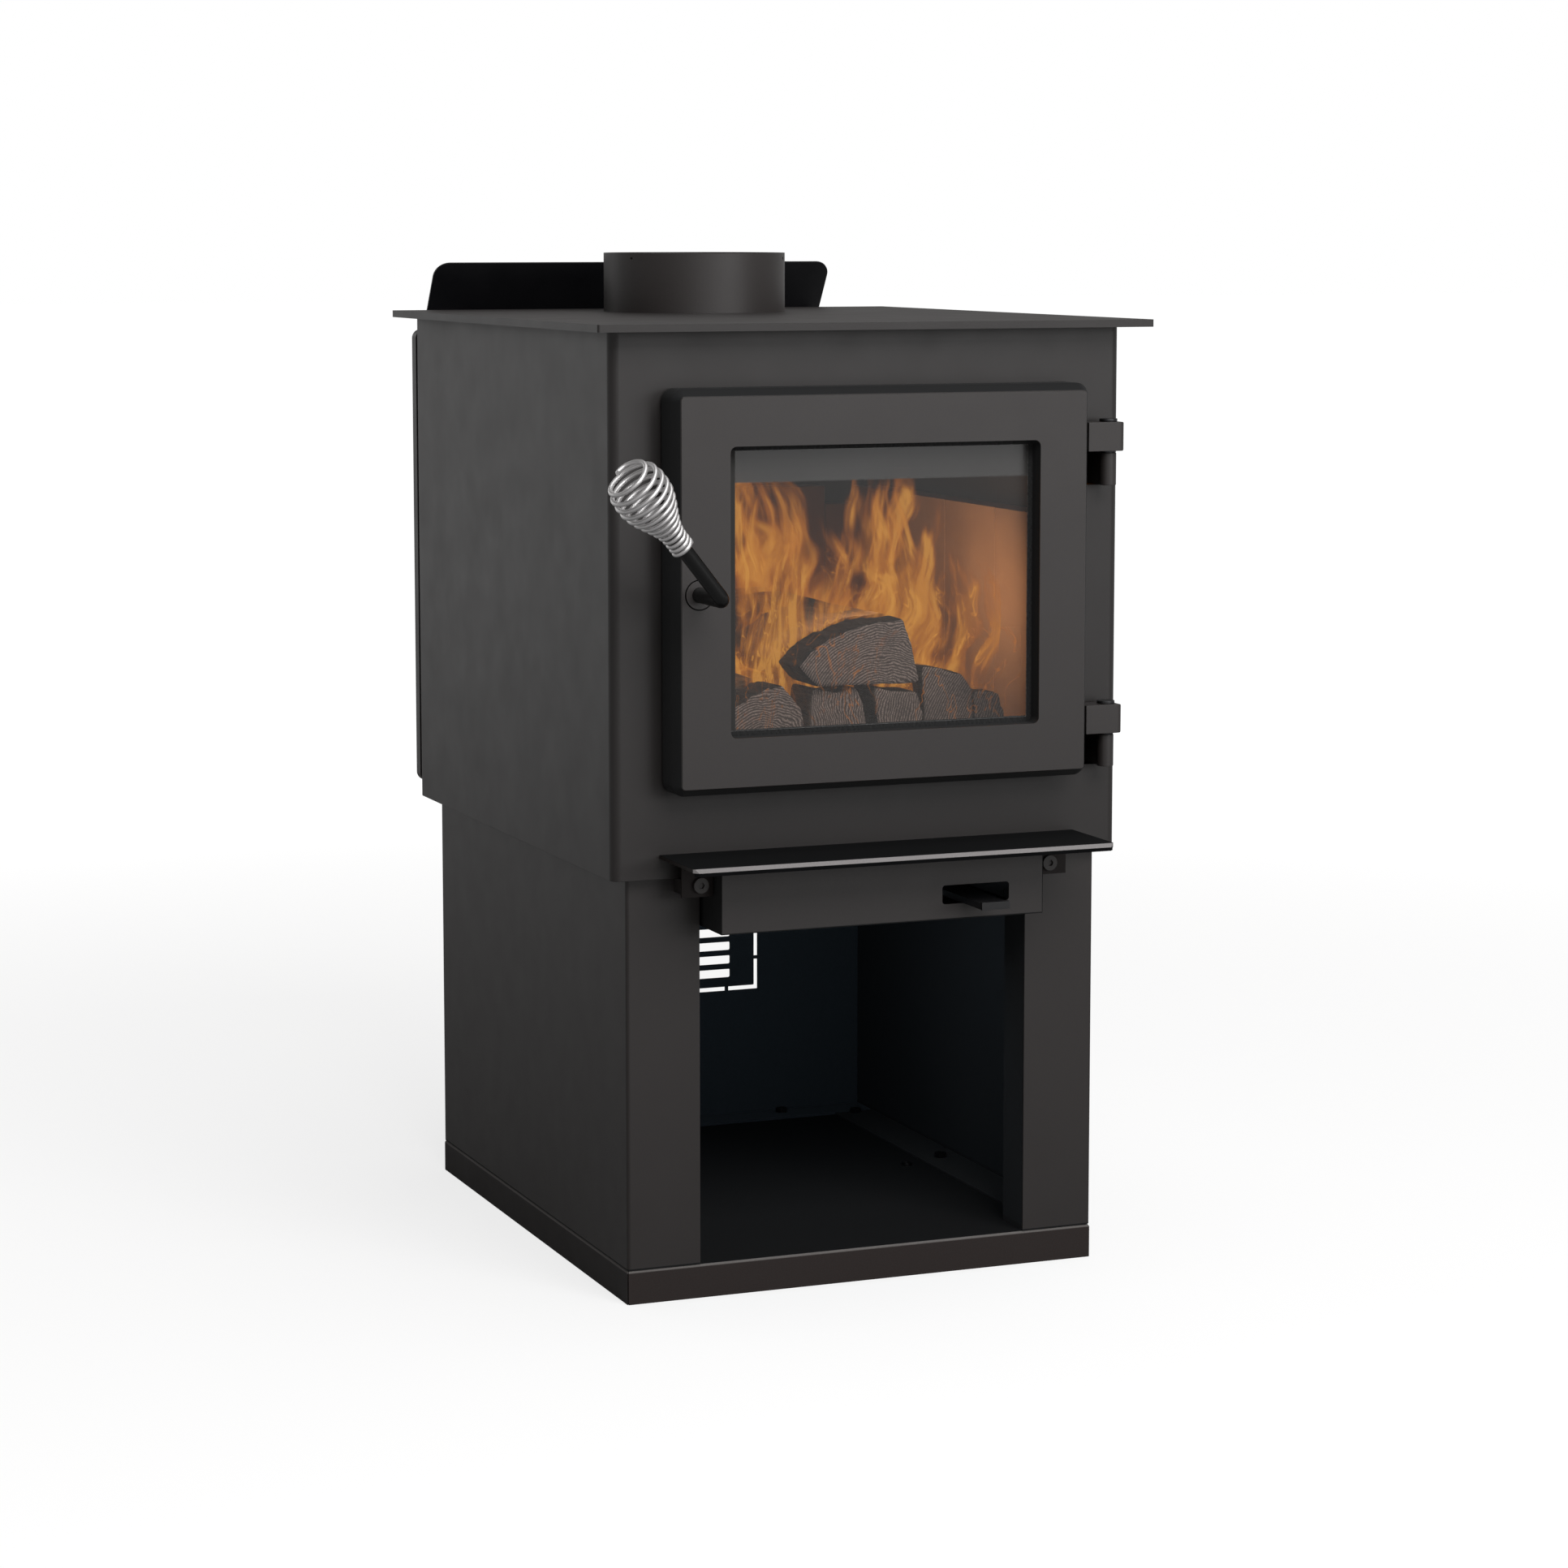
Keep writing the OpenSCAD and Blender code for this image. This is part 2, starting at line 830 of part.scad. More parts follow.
module ash_lip() {
    z0 = lip_top - lip_t;
    color(c_steel)
        difference() {
            union() {
                translate([-lip_w/2, 0, 0])
                    rotate([90, 0, 90])
                        linear_extrude(lip_w)
                            polygon(lip_section());
                for (sx = [-1, 1])
                    box([sx > 0 ? tab_in : -tab_out, tab_front, tab_low],
                        [sx > 0 ? tab_out : -tab_in, tab_front + sheet, z0 + eps]);
            }
            for (sx = [-1, 1]) {
                rod_y(sx*tab_screw_x, tab_screw_z, tab_front - 1, tab_front + sheet + 1, 3);
                translate([sx*lip_w/2, lip_front, lip_top - lip_fold - 1])
                    rotate([0, 0, 45])
                        cube([lip_corner*sqrt(2), lip_corner*sqrt(2), 2*lip_fold + 4], center = true);
            }
        }
}

module ash_lip_brackets() {
    color(c_steel)
        both_sides()
            difference() {
                box([tab_in + 2, tab_front + sheet, tab_low + 1],
                    [tab_out - 3, -base_d/2, pedestal_top - gap]);
                box([tab_in + 4, tab_front + sheet + 3, tab_low],
                    [tab_out - 5, -base_d/2 + 1, pedestal_top - 2.3]);
                rod_y(tab_screw_x, tab_screw_z, tab_front, tab_front + 10, 3);
            }
}

module ash_lip_screws() {
    color(c_steel)
        for (sx = [-1, 1])
            translate([sx*tab_screw_x, tab_front, tab_screw_z])
                rotate([90, 0, 0])
                    pan_screw(6.3, 3.4, 3, 9);
}

// ---- Air box and damper ----

module air_box() {
    x1 = airbox_w/2;
    t = airbox_t;
    y_back = -120;
    z_split = pedestal_top - 0.4;
    z_high = lip_top - lip_t;
    front_back = body_front - gap;
    color(c_steel)
        difference() {
            union() {
                difference() {
                    box([-x1, airbox_front, airbox_low], [x1, y_back, z_split]);
                    box([-x1 + t, airbox_front + t, airbox_low + t], [x1 - t, y_back - t, z_split + 1]);
                }
                difference() {
                    box([-x1, airbox_front, z_split - eps], [x1, front_back, z_high]);
                    box([-x1 + t, airbox_front + t, z_split - 1], [x1 - t, front_back + 1, z_high + 1]);
                }
                both_sides()
                    box([x1 - 14, body_front + 8, z_split - t], [x1 - eps, y_back - eps, z_split]);
            }
            translate([(slot_left + slot_right)/2, 0, 0])
                slab(slot_right - slot_left, slot_low, slot_high, airbox_front - 1,
                     airbox_front + t + 1, 2.7);
            both_sides()
                for (y = airbox_screw_y)
                    translate([airbox_screw_x, y, z_split - 5])
                        cylinder(r = 2, h = 8);
            for (sx = [-1, 1], z = post_screw_z)
                translate([sx*(x1 - 3), post_screw_y, z])
                    rotate([0, sx*90, 0])
                        cylinder(r = small_screw_r, h = 5);
        }
}

module air_box_screws() {
    color(c_zinc)
        both_sides()
            for (y = airbox_screw_y)
                translate([airbox_screw_x, y, pedestal_top - 2])
                    rotate([180, 0, 0])
                        pan_screw(4, 2.2, 2, 2);
}

module damper_guides() {
    t = 2;
    y_front = damper_front - gap - t;
    y_back = damper_front + damper_d + gap;
    z_low = damper_z - gap - t;
    color(c_steel)
        for (y = [y_front, y_back]) {
            box([-118, y, z_low], [118, y + t, pedestal_top]);
            lip_y = y == y_front ? y : y - 5;
            box([-118, lip_y, z_low], [118, lip_y + 5 + t, z_low + t]);
        }
}

module air_damper() {
    color(c_steel)
        difference() {
            box([-damper_w/2, damper_front, damper_z],
                [damper_w/2, damper_front + damper_d, damper_z + damper_t]);
            for (x = air_ports)
                box([x - port_w/2, port_y - 25, 0], [x + port_w/2, port_y + 25, body_top]);
            for (y = lever_rivet_y)
                translate([lever_x, y, damper_z - 1])
                    cylinder(r = 2, h = damper_t + 2);
        }
}

module air_lever() {
    x0 = lever_x - lever_w/2;
    x1 = lever_x + lever_w/2;
    y0 = airbox_front - lever_out;
    color(c_steel)
        difference() {
            union() {
                box([x0, y0, lever_z], [x1, lever_up_y + 4, lever_z + lever_t]);
                box([x0, y0, lever_z - 0.3], [x1, y0 + 4, lever_z + lever_t + 0.9]);
                box([x0 + 5, lever_up_y, lever_z + eps], [x1 - 5, lever_up_y + 4, damper_z]);
                box([x0 + 5, lever_up_y, damper_z - 4], [x1 - 5, lever_up_y + 34, damper_z]);
            }
            for (y = lever_rivet_y)
                translate([lever_x, y, damper_z - 5])
                    cylinder(r = 2, h = 6);
        }
}

module lever_rivets() {
    color(c_zinc)
        for (y = lever_rivet_y) {
            translate([lever_x, y, damper_z - 4 - eps])
                cylinder(r = 2, h = 4 + damper_t + eps);
            translate([lever_x, y, damper_z - 5.6])
                cylinder(r = 3.5, h = 1.6);
        }
}

// ---- Door ----

// Outer body of the door: flat front, flared rim and straight skirt
module door_blank() {
    y1 = door_front + flare_d;
    hull() {
        slab(door_w, door_low, door_high, door_front, door_front + 0.02, 2.5);
        slab(skirt_w, skirt_low, skirt_high, y1, y1 + 0.02, 10, $fn = 32);
    }
    slab(skirt_w, skirt_low, skirt_high, y1, door_back, 10);
}

module door_frame() {
    color(c_steel)
        difference() {
            door_blank();
            slab(window_w, window_low, window_high, door_front - 1, door_back + 1, 5);
            slab(pocket_w, pocket_low, pocket_high, pane_front, door_back + 1, 6);
            rod_y(-handle_x, handle_z, door_front - 1, door_back, bush_r);
            rod_y(-handle_x, handle_z, door_front - 1, door_front + 2, bush_flange_r + 1);
        }
}

module door_hinge_lugs() {
    x0 = skirt_w/2;
    color(c_steel)
        for (z = lug_low)
            difference() {
                intersection() {
                    union() {
                        translate([(x0 + lug_right)/2 + 3, (lug_front + lug_back)/2, z])
                            linear_extrude(lug_h)
                                round_rect(lug_right - x0 - 6, lug_back - lug_front, 5);
                        box([x0, lug_front, z], [x0 + 12, lug_back, z + lug_h]);
                    }
                    translate([lug_right - lug_block/2, 0, 0])
                        slab(lug_block, z, z + lug_h, lug_front - 1, lug_back + 1, lug_corner);
                }
                translate([hinge_x, hinge_y, z - 1])
                    cylinder(r = pin_r, h = lug_h + 2);
            }
}

module hinge_pins() {
    color(c_zinc)
        for (z = lug_low) {
            translate([hinge_x, hinge_y, z - barrel_drop - barrel_h + 2])
                cylinder(r = pin_r, h = barrel_h + barrel_drop + lug_h - 2);
            translate([hinge_x, hinge_y, z + lug_h])
                cylinder(r = pin_head_r, h = pin_head_h);
        }
}

module hinge_washers() {
    color(c_zinc)
        for (z = lug_low)
            translate([hinge_x, hinge_y, z - washer_t])
                difference() {
                    cylinder(r = 6.4, h = washer_t);
                    translate([0, 0, -1])
                        cylinder(r = pin_r, h = washer_t + 2);
                }
}

module hinge_brackets() {
    color(c_steel)
        for (z = lug_low)
            translate([hinge_x, hinge_y, z - barrel_drop - barrel_h])
                difference() {
                    union() {
                        cylinder(r = barrel_r, h = barrel_h);
                        box([-arm_t/2, 0, 0], [arm_t/2, arm_back - hinge_y, barrel_h]);
                        box([-arm_t/2, arm_back - hinge_y - 5, 0],
                            [body_in - weld - hinge_x, arm_back - hinge_y, barrel_h]);
                    }
                    translate([0, 0, -1])
                        cylinder(r = pin_r + run_gap, h = barrel_h + 2);
                }
}

module door_gasket() {
    color([0.55, 0.54, 0.52])
        slab_ring(pocket_w - 0.4, pocket_low + 0.2, pocket_high - 0.2, rope_front, rope_back, 5.5, rope_w);
}

module glass_gasket() {
    color([0.2, 0.2, 0.2])
        slab_ring(pane_w, pane_low, pane_high, pane_front, pane_front + pane_pad, 6, tape_w);
}

module door_glass() {
    y0 = pane_front + pane_pad;
    color([0.2, 0.2, 0.22, 0.4])
        slab(pane_w, pane_low, pane_high, y0, y0 + pane_t, 6);
}

// Clip over an edge of the pane, drawn for the upper edge and centred on x
module glass_clip(x, edge_z, dir) {
    y0 = pane_front + pane_pad + pane_t;
    low = min(edge_z - dir*7, edge_z + dir*(clip_reach - 7));
    high = max(edge_z - dir*7, edge_z + dir*(clip_reach - 7));
    foot_low = min(edge_z + dir*0.6, edge_z + dir*(clip_reach - 7));
    foot_high = max(edge_z + dir*0.6, edge_z + dir*(clip_reach - 7));
    difference() {
        union() {
            box([x - clip_w/2, y0, low], [x + clip_w/2, y0 + clip_t, high]);
            box([x - clip_w/2, pane_front, foot_low], [x + clip_w/2, y0 + eps, foot_high]);
        }
        rod_y(x, edge_z + dir*5.5, pane_front - 1, y0 + clip_t + 1, 2);
    }
}

module glass_clips() {
    color(c_zinc)
        for (x = clip_x) {
            glass_clip(x, pane_high, 1);
            glass_clip(x, pane_low, -1);
        }
}

module glass_clip_screws() {
    y1 = pane_front + pane_pad + pane_t + clip_t;
    color(c_zinc)
        for (x = clip_x, z = [pane_high + 5.5, pane_low - 5.5])
            translate([x, y1, z])
                rotate([-90, 0, 0])
                    pan_screw(3.6, 2, 2, pane_pad + pane_t + clip_t);
}

module latch_catch() {
    lip_y = cam_front - 0.5;
    x0 = -handle_x - 5;
    x1 = -handle_x + 5;
    z0 = handle_z + cam_len + 5.6;
    color(c_zinc) {
        box([x0, lip_y - 4, z0 - 14], [x1, lip_y, z0 + 4]);
        box([x0, lip_y - eps, z0], [x1, body_front, z0 + 4]);
        box([x0, body_front - 3, z0 + 4 - eps], [x1, body_front, z0 + 20]);
    }
}

module handle_bushing() {
    color(c_steel)
        difference() {
            union() {
                rod_y(-handle_x, handle_z, door_front + 2 - eps, pane_front, bush_r);
                rod_y(-handle_x, handle_z, door_front - 0.4, door_front + 2, bush_flange_r);
            }
            rod_y(-handle_x, handle_z, door_front - 2, pane_front + 1, rod_r + run_gap);
        }
}

// ---- Handle ----

// Places its children at the elbow, with +X across the door along the grip and +Y into the stove
module in_grip_plane() {
    translate([-handle_x, elbow_y, handle_z])
        rotate([0, 180 + grip_angle, 0])
            children();
}

// Places its children at the elbow with +Z along the grip
module along_grip() {
    in_grip_plane()
        rotate([0, 90, -grip_lean])
            children();
}

module handle_rod() {
    inside_coil = 22;
    color(c_black) {
        rod_y(-handle_x, handle_z, elbow_y + bend_run - weld, cam_front, rod_r);
        rod_y(-handle_x, handle_z, cam_front - eps, cam_front + cam_t + 4, stud_r);
        in_grip_plane()
            translate([bend_r, bend_run, 0])
                rotate([0, 0, 180])
                    rotate_extrude(angle = bend_turn)
                        translate([bend_r, 0])
                            circle(rod_r + bend_swell);
        along_grip()
            translate([0, 0, bend_run - weld])
                cylinder(r = rod_r, h = rod_bare + inside_coil - bend_run + weld);
    }
}

// Smooth step from 0 at a to 1 at b
function smooth(s, a, b) = let (u = max(0, min(1, (s - a)/(b - a)))) u*u*(3 - 2*u);

// Radius of the coil's wire centre at fraction s of its length
function coil_r(s) = s < 0.76
    ? neck_r + (bulb_r - neck_r)*smooth(s, 0.15, 0.70)
    : mouth_r + (bulb_r - mouth_r)*sqrt(max(0, 1 - pow((s - 0.76)/0.24, 2)));

// Height fraction of the coil at fraction q of its turns: close at the rod, open at the end
function coil_s(q) = (2*q + q*q)/3;

function coil_point(q) = let (s = coil_s(q), a = 360*coil_turns*q)
    [coil_r(s)*cos(a), coil_r(s)*sin(a), s*coil_len];

function unit(v) = v/norm(v);

module handle_coil_grip() {
    sides = 6;
    steps = round(coil_turns*16);
    path = [for (i = [0 : steps]) coil_point(i/steps)];
    tangent = [for (i = [0 : steps]) unit(path[min(i + 1, steps)] - path[max(i - 1, 0)])];
    out = [for (i = [0 : steps]) unit([path[i][0], path[i][1], 0])];
    across = [for (i = [0 : steps]) unit(cross(tangent[i], out[i]))];
    side_dir = [for (i = [0 : steps]) cross(across[i], tangent[i])];
    points = [for (i = [0 : steps], k = [0 : sides - 1])
        path[i] + wire_r*(cos(60*k)*side_dir[i] + sin(60*k)*across[i])];
    faces = concat(
        [[for (k = [0 : sides - 1]) k]],
        [for (i = [0 : steps - 1], k = [0 : sides - 1])
            [i*sides + k, (i + 1)*sides + k, (i + 1)*sides + (k + 1) % sides, i*sides + (k + 1) % sides]],
        [[for (k = [sides - 1 : -1 : 0]) steps*sides + k]]);
    color([0.9, 0.9, 0.92])
        along_grip()
            translate([0, 0, rod_bare])
                polyhedron(points, faces);
}

module latch_cam() {
    color(c_zinc)
        translate([-handle_x, cam_front + cam_t, handle_z])
            rotate([0, cam_rest, 0])
                rotate([90, 0, 0])
                    linear_extrude(cam_t)
                        difference() {
                            union() {
                                circle(cam_w/2);
                                translate([0, (cam_len - cam_w/2)])
                                    circle(cam_w/2);
                                translate([-cam_w/2, 0])
                                    square([cam_w, cam_len - cam_w/2]);
                            }
                            circle(stud_r);
                        }
}

module cam_nut() {
    color(c_zinc)
        translate([-handle_x, cam_front + cam_t, handle_z])
            rotate([-90, 0, 0])
                difference() {
                    cylinder(r = 12.6/sqrt(3), h = 3.6, $fn = 6);
                    translate([0, 0, -1])
                        cylinder(r = stud_r, h = 6);
                }
}

// ---- Firewood ----

// Split log: outline across the log, front end, length and turn about Z
module split_log(outline, y_front, length, turn) {
    translate([0, y_front, 0])
        rotate([0, 0, turn])
            rotate([90, 0, 0])
                mirror([0, 0, 1])
                    linear_extrude(length)
                        polygon(outline);
}

module firewood() {
    color(c_wood) {
        split_log([[-118, 421], [-40, 421], [-35, 455], [-36, 478], [-54, 488], [-68, 488], [-84, 480],
                   [-106, 468]],
                  -206, 330, 2);
        split_log([[-29, 421], [26, 421], [25, 482], [-3, 485], [-28, 485]],
                  -204, 320, 0);
        split_log([[30, 421], [68, 421], [67, 478], [45, 480], [31, 484]],
                  -208, 330, 0);
        split_log([[74, 421], [118, 421], [117, 476], [107, 490], [89, 496], [70, 499]],
                  -200, 340, 0);
        split_log([[122, 421], [152, 421], [150, 455], [144, 473], [121, 475]],
                  -192, 310, 0);
        split_log([[-44, 503], [-32, 490], [-26, 485.5], [64, 485.5], [58, 517], [51, 539], [33, 538],
                   [11, 535], [-10, 528], [-32, 516]],
                  -212, 325, 0);
    }
}

base_floor();
base_plinth();
plinth_screws();
pedestal_left();
pedestal_right();
pedestal_back_panel();
pedestal_bolts();
post_screws();
firebox_floor();
firebox_shell();
firebox_back();
hearth_plate();
hearth_supports();
side_jambs();
log_rail();
brick_retainers();
floor_bricks();
rear_bricks();
left_bricks();
right_bricks();
air_manifolds();
secondary_air_tubes();
baffle_board();
baffle_blanket();
airwash_channel();
stove_top();
flue_collar();
rear_cover();
shield_spacers();
heat_shield();
rear_deflector();
shield_rivets();
ash_lip();
ash_lip_brackets();
ash_lip_screws();
air_box();
air_box_screws();
damper_guides();
hinge_brackets();
latch_catch();
firewood();
door_frame();
door_hinge_lugs();
hinge_pins();
hinge_washers();
door_gasket();
glass_gasket();
door_glass();
glass_clips();
glass_clip_screws();
handle_bushing();
handle_rod();
handle_coil_grip();
latch_cam();
cam_nut();
air_lever();
air_damper();
lever_rivets();
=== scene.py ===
"""Looks for a freestanding wood burning stove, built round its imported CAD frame.

The CAD nodes keep their own meshes and get materials and edge modifiers. Blender makes the pieces that
need finer shape: the coil grip's wire, the rope gasket, the split logs, the ash bed and the flames.
Lengths are in metres; x is to the stove's right, y goes back and z goes up.
"""

import math
import random

import bpy
from mathutils import Matrix, Vector, noise


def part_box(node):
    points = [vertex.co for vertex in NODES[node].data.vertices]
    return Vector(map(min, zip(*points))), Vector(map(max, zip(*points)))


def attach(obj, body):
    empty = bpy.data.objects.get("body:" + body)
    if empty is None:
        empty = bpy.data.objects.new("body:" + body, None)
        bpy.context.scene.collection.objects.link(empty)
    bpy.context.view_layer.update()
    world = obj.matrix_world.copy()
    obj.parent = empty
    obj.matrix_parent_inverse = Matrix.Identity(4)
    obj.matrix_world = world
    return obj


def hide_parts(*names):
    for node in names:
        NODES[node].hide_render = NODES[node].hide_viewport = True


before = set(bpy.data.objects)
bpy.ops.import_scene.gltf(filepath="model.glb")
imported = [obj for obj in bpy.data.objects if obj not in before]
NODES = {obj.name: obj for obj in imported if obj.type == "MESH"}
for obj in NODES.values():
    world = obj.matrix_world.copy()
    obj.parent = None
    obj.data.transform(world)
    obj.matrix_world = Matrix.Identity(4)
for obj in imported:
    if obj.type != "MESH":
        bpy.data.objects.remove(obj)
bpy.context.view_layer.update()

MM = 0.001


# ---- Small helpers ----


def smoothstep(value, low, high):
    """0 below low, 1 above high and an even S between them."""
    t = min(1.0, max(0.0, (value - low) / (high - low)))
    return t * t * (3 - 2 * t)


def new_object(name, verts, faces, smooth=True):
    mesh = bpy.data.meshes.new(name)
    mesh.from_pydata([tuple(v) for v in verts], [], faces)
    mesh.update()
    if smooth:
        mesh.shade_smooth()
    obj = bpy.data.objects.new(name, mesh)
    bpy.context.scene.collection.objects.link(obj)
    return obj


def grid_faces(columns, rows):
    """Quads over a grid of vertices that is columns by rows cells, stored row by row."""
    line = columns + 1
    return [(j * line + i, j * line + i + 1, (j + 1) * line + i + 1, (j + 1) * line + i)
            for j in range(rows) for i in range(columns)]


def wire_through(name, points, radius):
    """A round wire through the points."""
    curve = bpy.data.curves.new(name, "CURVE")
    curve.dimensions = "3D"
    curve.bevel_depth = radius
    curve.bevel_resolution = 6
    curve.use_fill_caps = True
    line = curve.splines.new("POLY")
    line.points.add(len(points) - 1)
    for spline_point, point in zip(line.points, points):
        spline_point.co = (*point, 1.0)
    line.use_smooth = True
    obj = bpy.data.objects.new(name, curve)
    bpy.context.scene.collection.objects.link(obj)
    return obj


# ---- Shader nodes ----


class Shader:
    """A material under construction. Its texture coordinates are the piece's own, in metres."""

    def __init__(self, name):
        self.material = bpy.data.materials.new(name)
        self.material.use_nodes = True
        self.tree = self.material.node_tree
        self.surface = self.tree.nodes["Principled BSDF"]
        self.output = self.tree.nodes["Material Output"]
        self.coords = self.add("ShaderNodeTexCoord").outputs["Object"]

    def add(self, kind, links=None, **settings):
        """Adds a node. links maps an input's name or number to a constant or to another node's socket."""
        node = self.tree.nodes.new(kind)
        for key, value in settings.items():
            setattr(node, key, value)
        for key, value in (links or {}).items():
            self.feed(node.inputs[key], value)
        return node

    def feed(self, socket, value):
        if isinstance(value, bpy.types.NodeSocket):
            self.tree.links.new(value, socket)
        elif socket.type == "RGBA" and len(value) == 3:
            socket.default_value = (*value, 1.0)
        else:
            socket.default_value = value

    def set(self, **values):
        """Sets or links the surface's sockets, named with _ for a space."""
        for key, value in values.items():
            self.feed(self.surface.inputs[key.replace("_", " ")], value)

    def stretched(self, x, y, z, source=None):
        links = {"Vector": source or self.coords, "Scale": (x, y, z)}
        return self.add("ShaderNodeMapping", links).outputs[0]

    def pushed(self, direction, amount):
        """The coordinates moved along direction by amount times its length."""
        links = {0: direction, "Scale": amount}
        push = self.add("ShaderNodeVectorMath", links, operation="SCALE").outputs[0]
        return self.add("ShaderNodeVectorMath", {0: self.coords, 1: push}, operation="ADD").outputs[0]

    def noise(self, scale, detail=3.0, rough=0.5, vector=None, distortion=0.0):
        links = {
            "Vector": vector or self.coords,
            "Scale": scale,
            "Detail": detail,
            "Roughness": rough,
            "Distortion": distortion,
        }
        return self.add("ShaderNodeTexNoise", links).outputs["Fac"]

    def cells(self, scale, feature="F1", vector=None):
        links = {"Vector": vector or self.coords, "Scale": scale}
        return self.add("ShaderNodeTexVoronoi", links, feature=feature).outputs["Distance"]

    def ramp(self, factor, *stops):
        """stops are (place, colour) pairs in order."""
        node = self.add("ShaderNodeValToRGB", {"Fac": factor})
        band = node.color_ramp
        while len(band.elements) < len(stops):
            band.elements.new(0.5)
        for element, (place, colour) in zip(band.elements, stops):
            element.position = place
            element.color = (*colour, 1.0)
        return node.outputs["Color"]

    def span(self, value, from_low, from_high, to_low=0.0, to_high=1.0, smooth=False):
        """value carried from one range to another and held at its ends."""
        links = {
            "Value": value,
            "From Min": from_low,
            "From Max": from_high,
            "To Min": to_low,
            "To Max": to_high,
        }
        kind = "SMOOTHSTEP" if smooth else "LINEAR"
        return self.add("ShaderNodeMapRange", links, interpolation_type=kind).outputs[0]

    def math(self, operation, *values):
        return self.add("ShaderNodeMath", dict(enumerate(values)), operation=operation).outputs[0]

    def mix(self, factor, first, second, blend="MIX"):
        node = self.add("ShaderNodeMix", data_type="RGBA", blend_type=blend)
        for index, value in ((0, factor), (6, first), (7, second)):
            self.feed(node.inputs[index], value)
        return node.outputs[2]

    def axis(self, name):
        return self.add("ShaderNodeSeparateXYZ", {0: self.coords}).outputs[name]

    def bump(self, height, strength, depth):
        """Fine relief, depth metres deep."""
        links = {"Height": height, "Strength": strength, "Distance": depth}
        below = self.surface.inputs["Normal"]
        if below.is_linked:
            links["Normal"] = below.links[0].from_socket
        self.feed(below, self.add("ShaderNodeBump", links).outputs[0])


# ---- Materials ----


def paint(name, dark, light, rough=(0.44, 0.50), grain=0.12, painted_light=(), shine=0.5):
    """Sprayed high-temperature stove paint: a satin film with a fine dry grain.

    Each fade is painted light or shade: a colour and a list of (axis, start, end) in mm; where all of them
    hold, the paint turns to the colour and goes matt. x counts from the centre plane outwards.
    """
    s = Shader(name)
    broad = s.noise(4.0, 2.0, 0.4)
    fleck = s.noise(900.0, 2.0, 0.6)
    tone = s.ramp(broad, (0.3, dark), (0.7, light))
    matt = s.span(s.noise(30.0, 2.0), 0.2, 0.8, *rough)
    for colour, limits in painted_light:
        share = 1.0
        for letter, start, end in limits:
            place = s.axis(letter)
            if letter == "X":
                place = s.math("ABSOLUTE", place)
            share = s.math("MULTIPLY", s.span(place, start * MM, end * MM), share)
        tone = s.mix(share, tone, colour)
        matt = s.math("MAXIMUM", matt, share)
    speck = s.span(fleck, 0.35, 0.7, 0.92, 1.08)
    speck_grey = s.add("ShaderNodeCombineColor", {0: speck, 1: speck, 2: speck}).outputs[0]
    s.set(Base_Color=s.mix(1.0, tone, speck_grey, "MULTIPLY"))
    s.set(Roughness=matt, Specular_IOR_Level=shine)
    s.bump(fleck, grain, 0.12 * MM)
    return s


def steel(name, dark, light, rough, grain=420.0):
    """Bare or plated metal with cloudy colour and a fine grain in its gloss."""
    s = Shader(name)
    fine = s.noise(grain, 3.0, 0.6)
    s.set(Base_Color=s.ramp(s.noise(14.0, 5.0, 0.6), (0.3, dark), (0.7, light)), Metallic=1.0)
    s.set(Roughness=s.span(fine, 0.3, 0.7, *rough))
    s.bump(fine, 0.15, 0.08 * MM)
    return s


def firebrick(name):
    """Pale refractory brick: sandy grain, small pits, and soot that thickens towards the top."""
    s = Shader(name)
    sand = s.noise(520.0, 4.0, 0.7)
    pits = s.span(s.cells(260.0), 0.0, 0.34)
    cloud = s.noise(9.0, 5.0, 0.6)
    body = s.ramp(cloud, (0.25, (0.30, 0.18, 0.11)), (0.75, (0.46, 0.30, 0.19)))
    grainy = s.mix(s.span(sand, 0.35, 0.65, 0.0, 0.12), body, (0.20, 0.12, 0.075))
    soot = s.math("MULTIPLY", s.span(s.axis("Z"), 0.56, 0.64), s.span(cloud, 0.3, 0.7, 0.0, 0.3))
    s.set(Base_Color=s.mix(soot, grainy, (0.05, 0.036, 0.03)), Roughness=0.92)
    s.bump(sand, 0.2, 0.4 * MM)
    s.bump(pits, 0.15, 0.4 * MM)
    return s


def wool(name):
    """Pale ceramic fibre blanket."""
    s = Shader(name)
    fibre = s.noise(240.0, 6.0, 0.75, s.stretched(1, 4, 4), 2.0)
    s.set(Base_Color=s.ramp(fibre, (0.3, (0.55, 0.53, 0.50)), (0.7, (0.85, 0.84, 0.81))), Roughness=0.97)
    s.bump(fibre, 0.8, 1.2 * MM)
    return s


def rope_yarn(name, dark, light):
    """Braided glass-fibre rope: crossing diagonal strands with frayed threads."""
    s = Shader(name)
    thread = s.noise(1500.0, 3.0, 0.7)
    strand = s.span(s.cells(330.0), 0.0, 0.6)
    s.set(Base_Color=s.mix(s.span(strand, 0.2, 0.9), dark, light), Roughness=0.95, Sheen_Weight=0.3)
    s.bump(strand, 0.6, 0.7 * MM)
    s.bump(thread, 0.4, 0.2 * MM)
    return s


CLEAR_GLASS = {"X": (-0.1228, 0.1312), "Z": (0.4632, 0.6831)}
BORDER_BLUR = 0.4 * MM
FILM_BOTTOM = 0.657


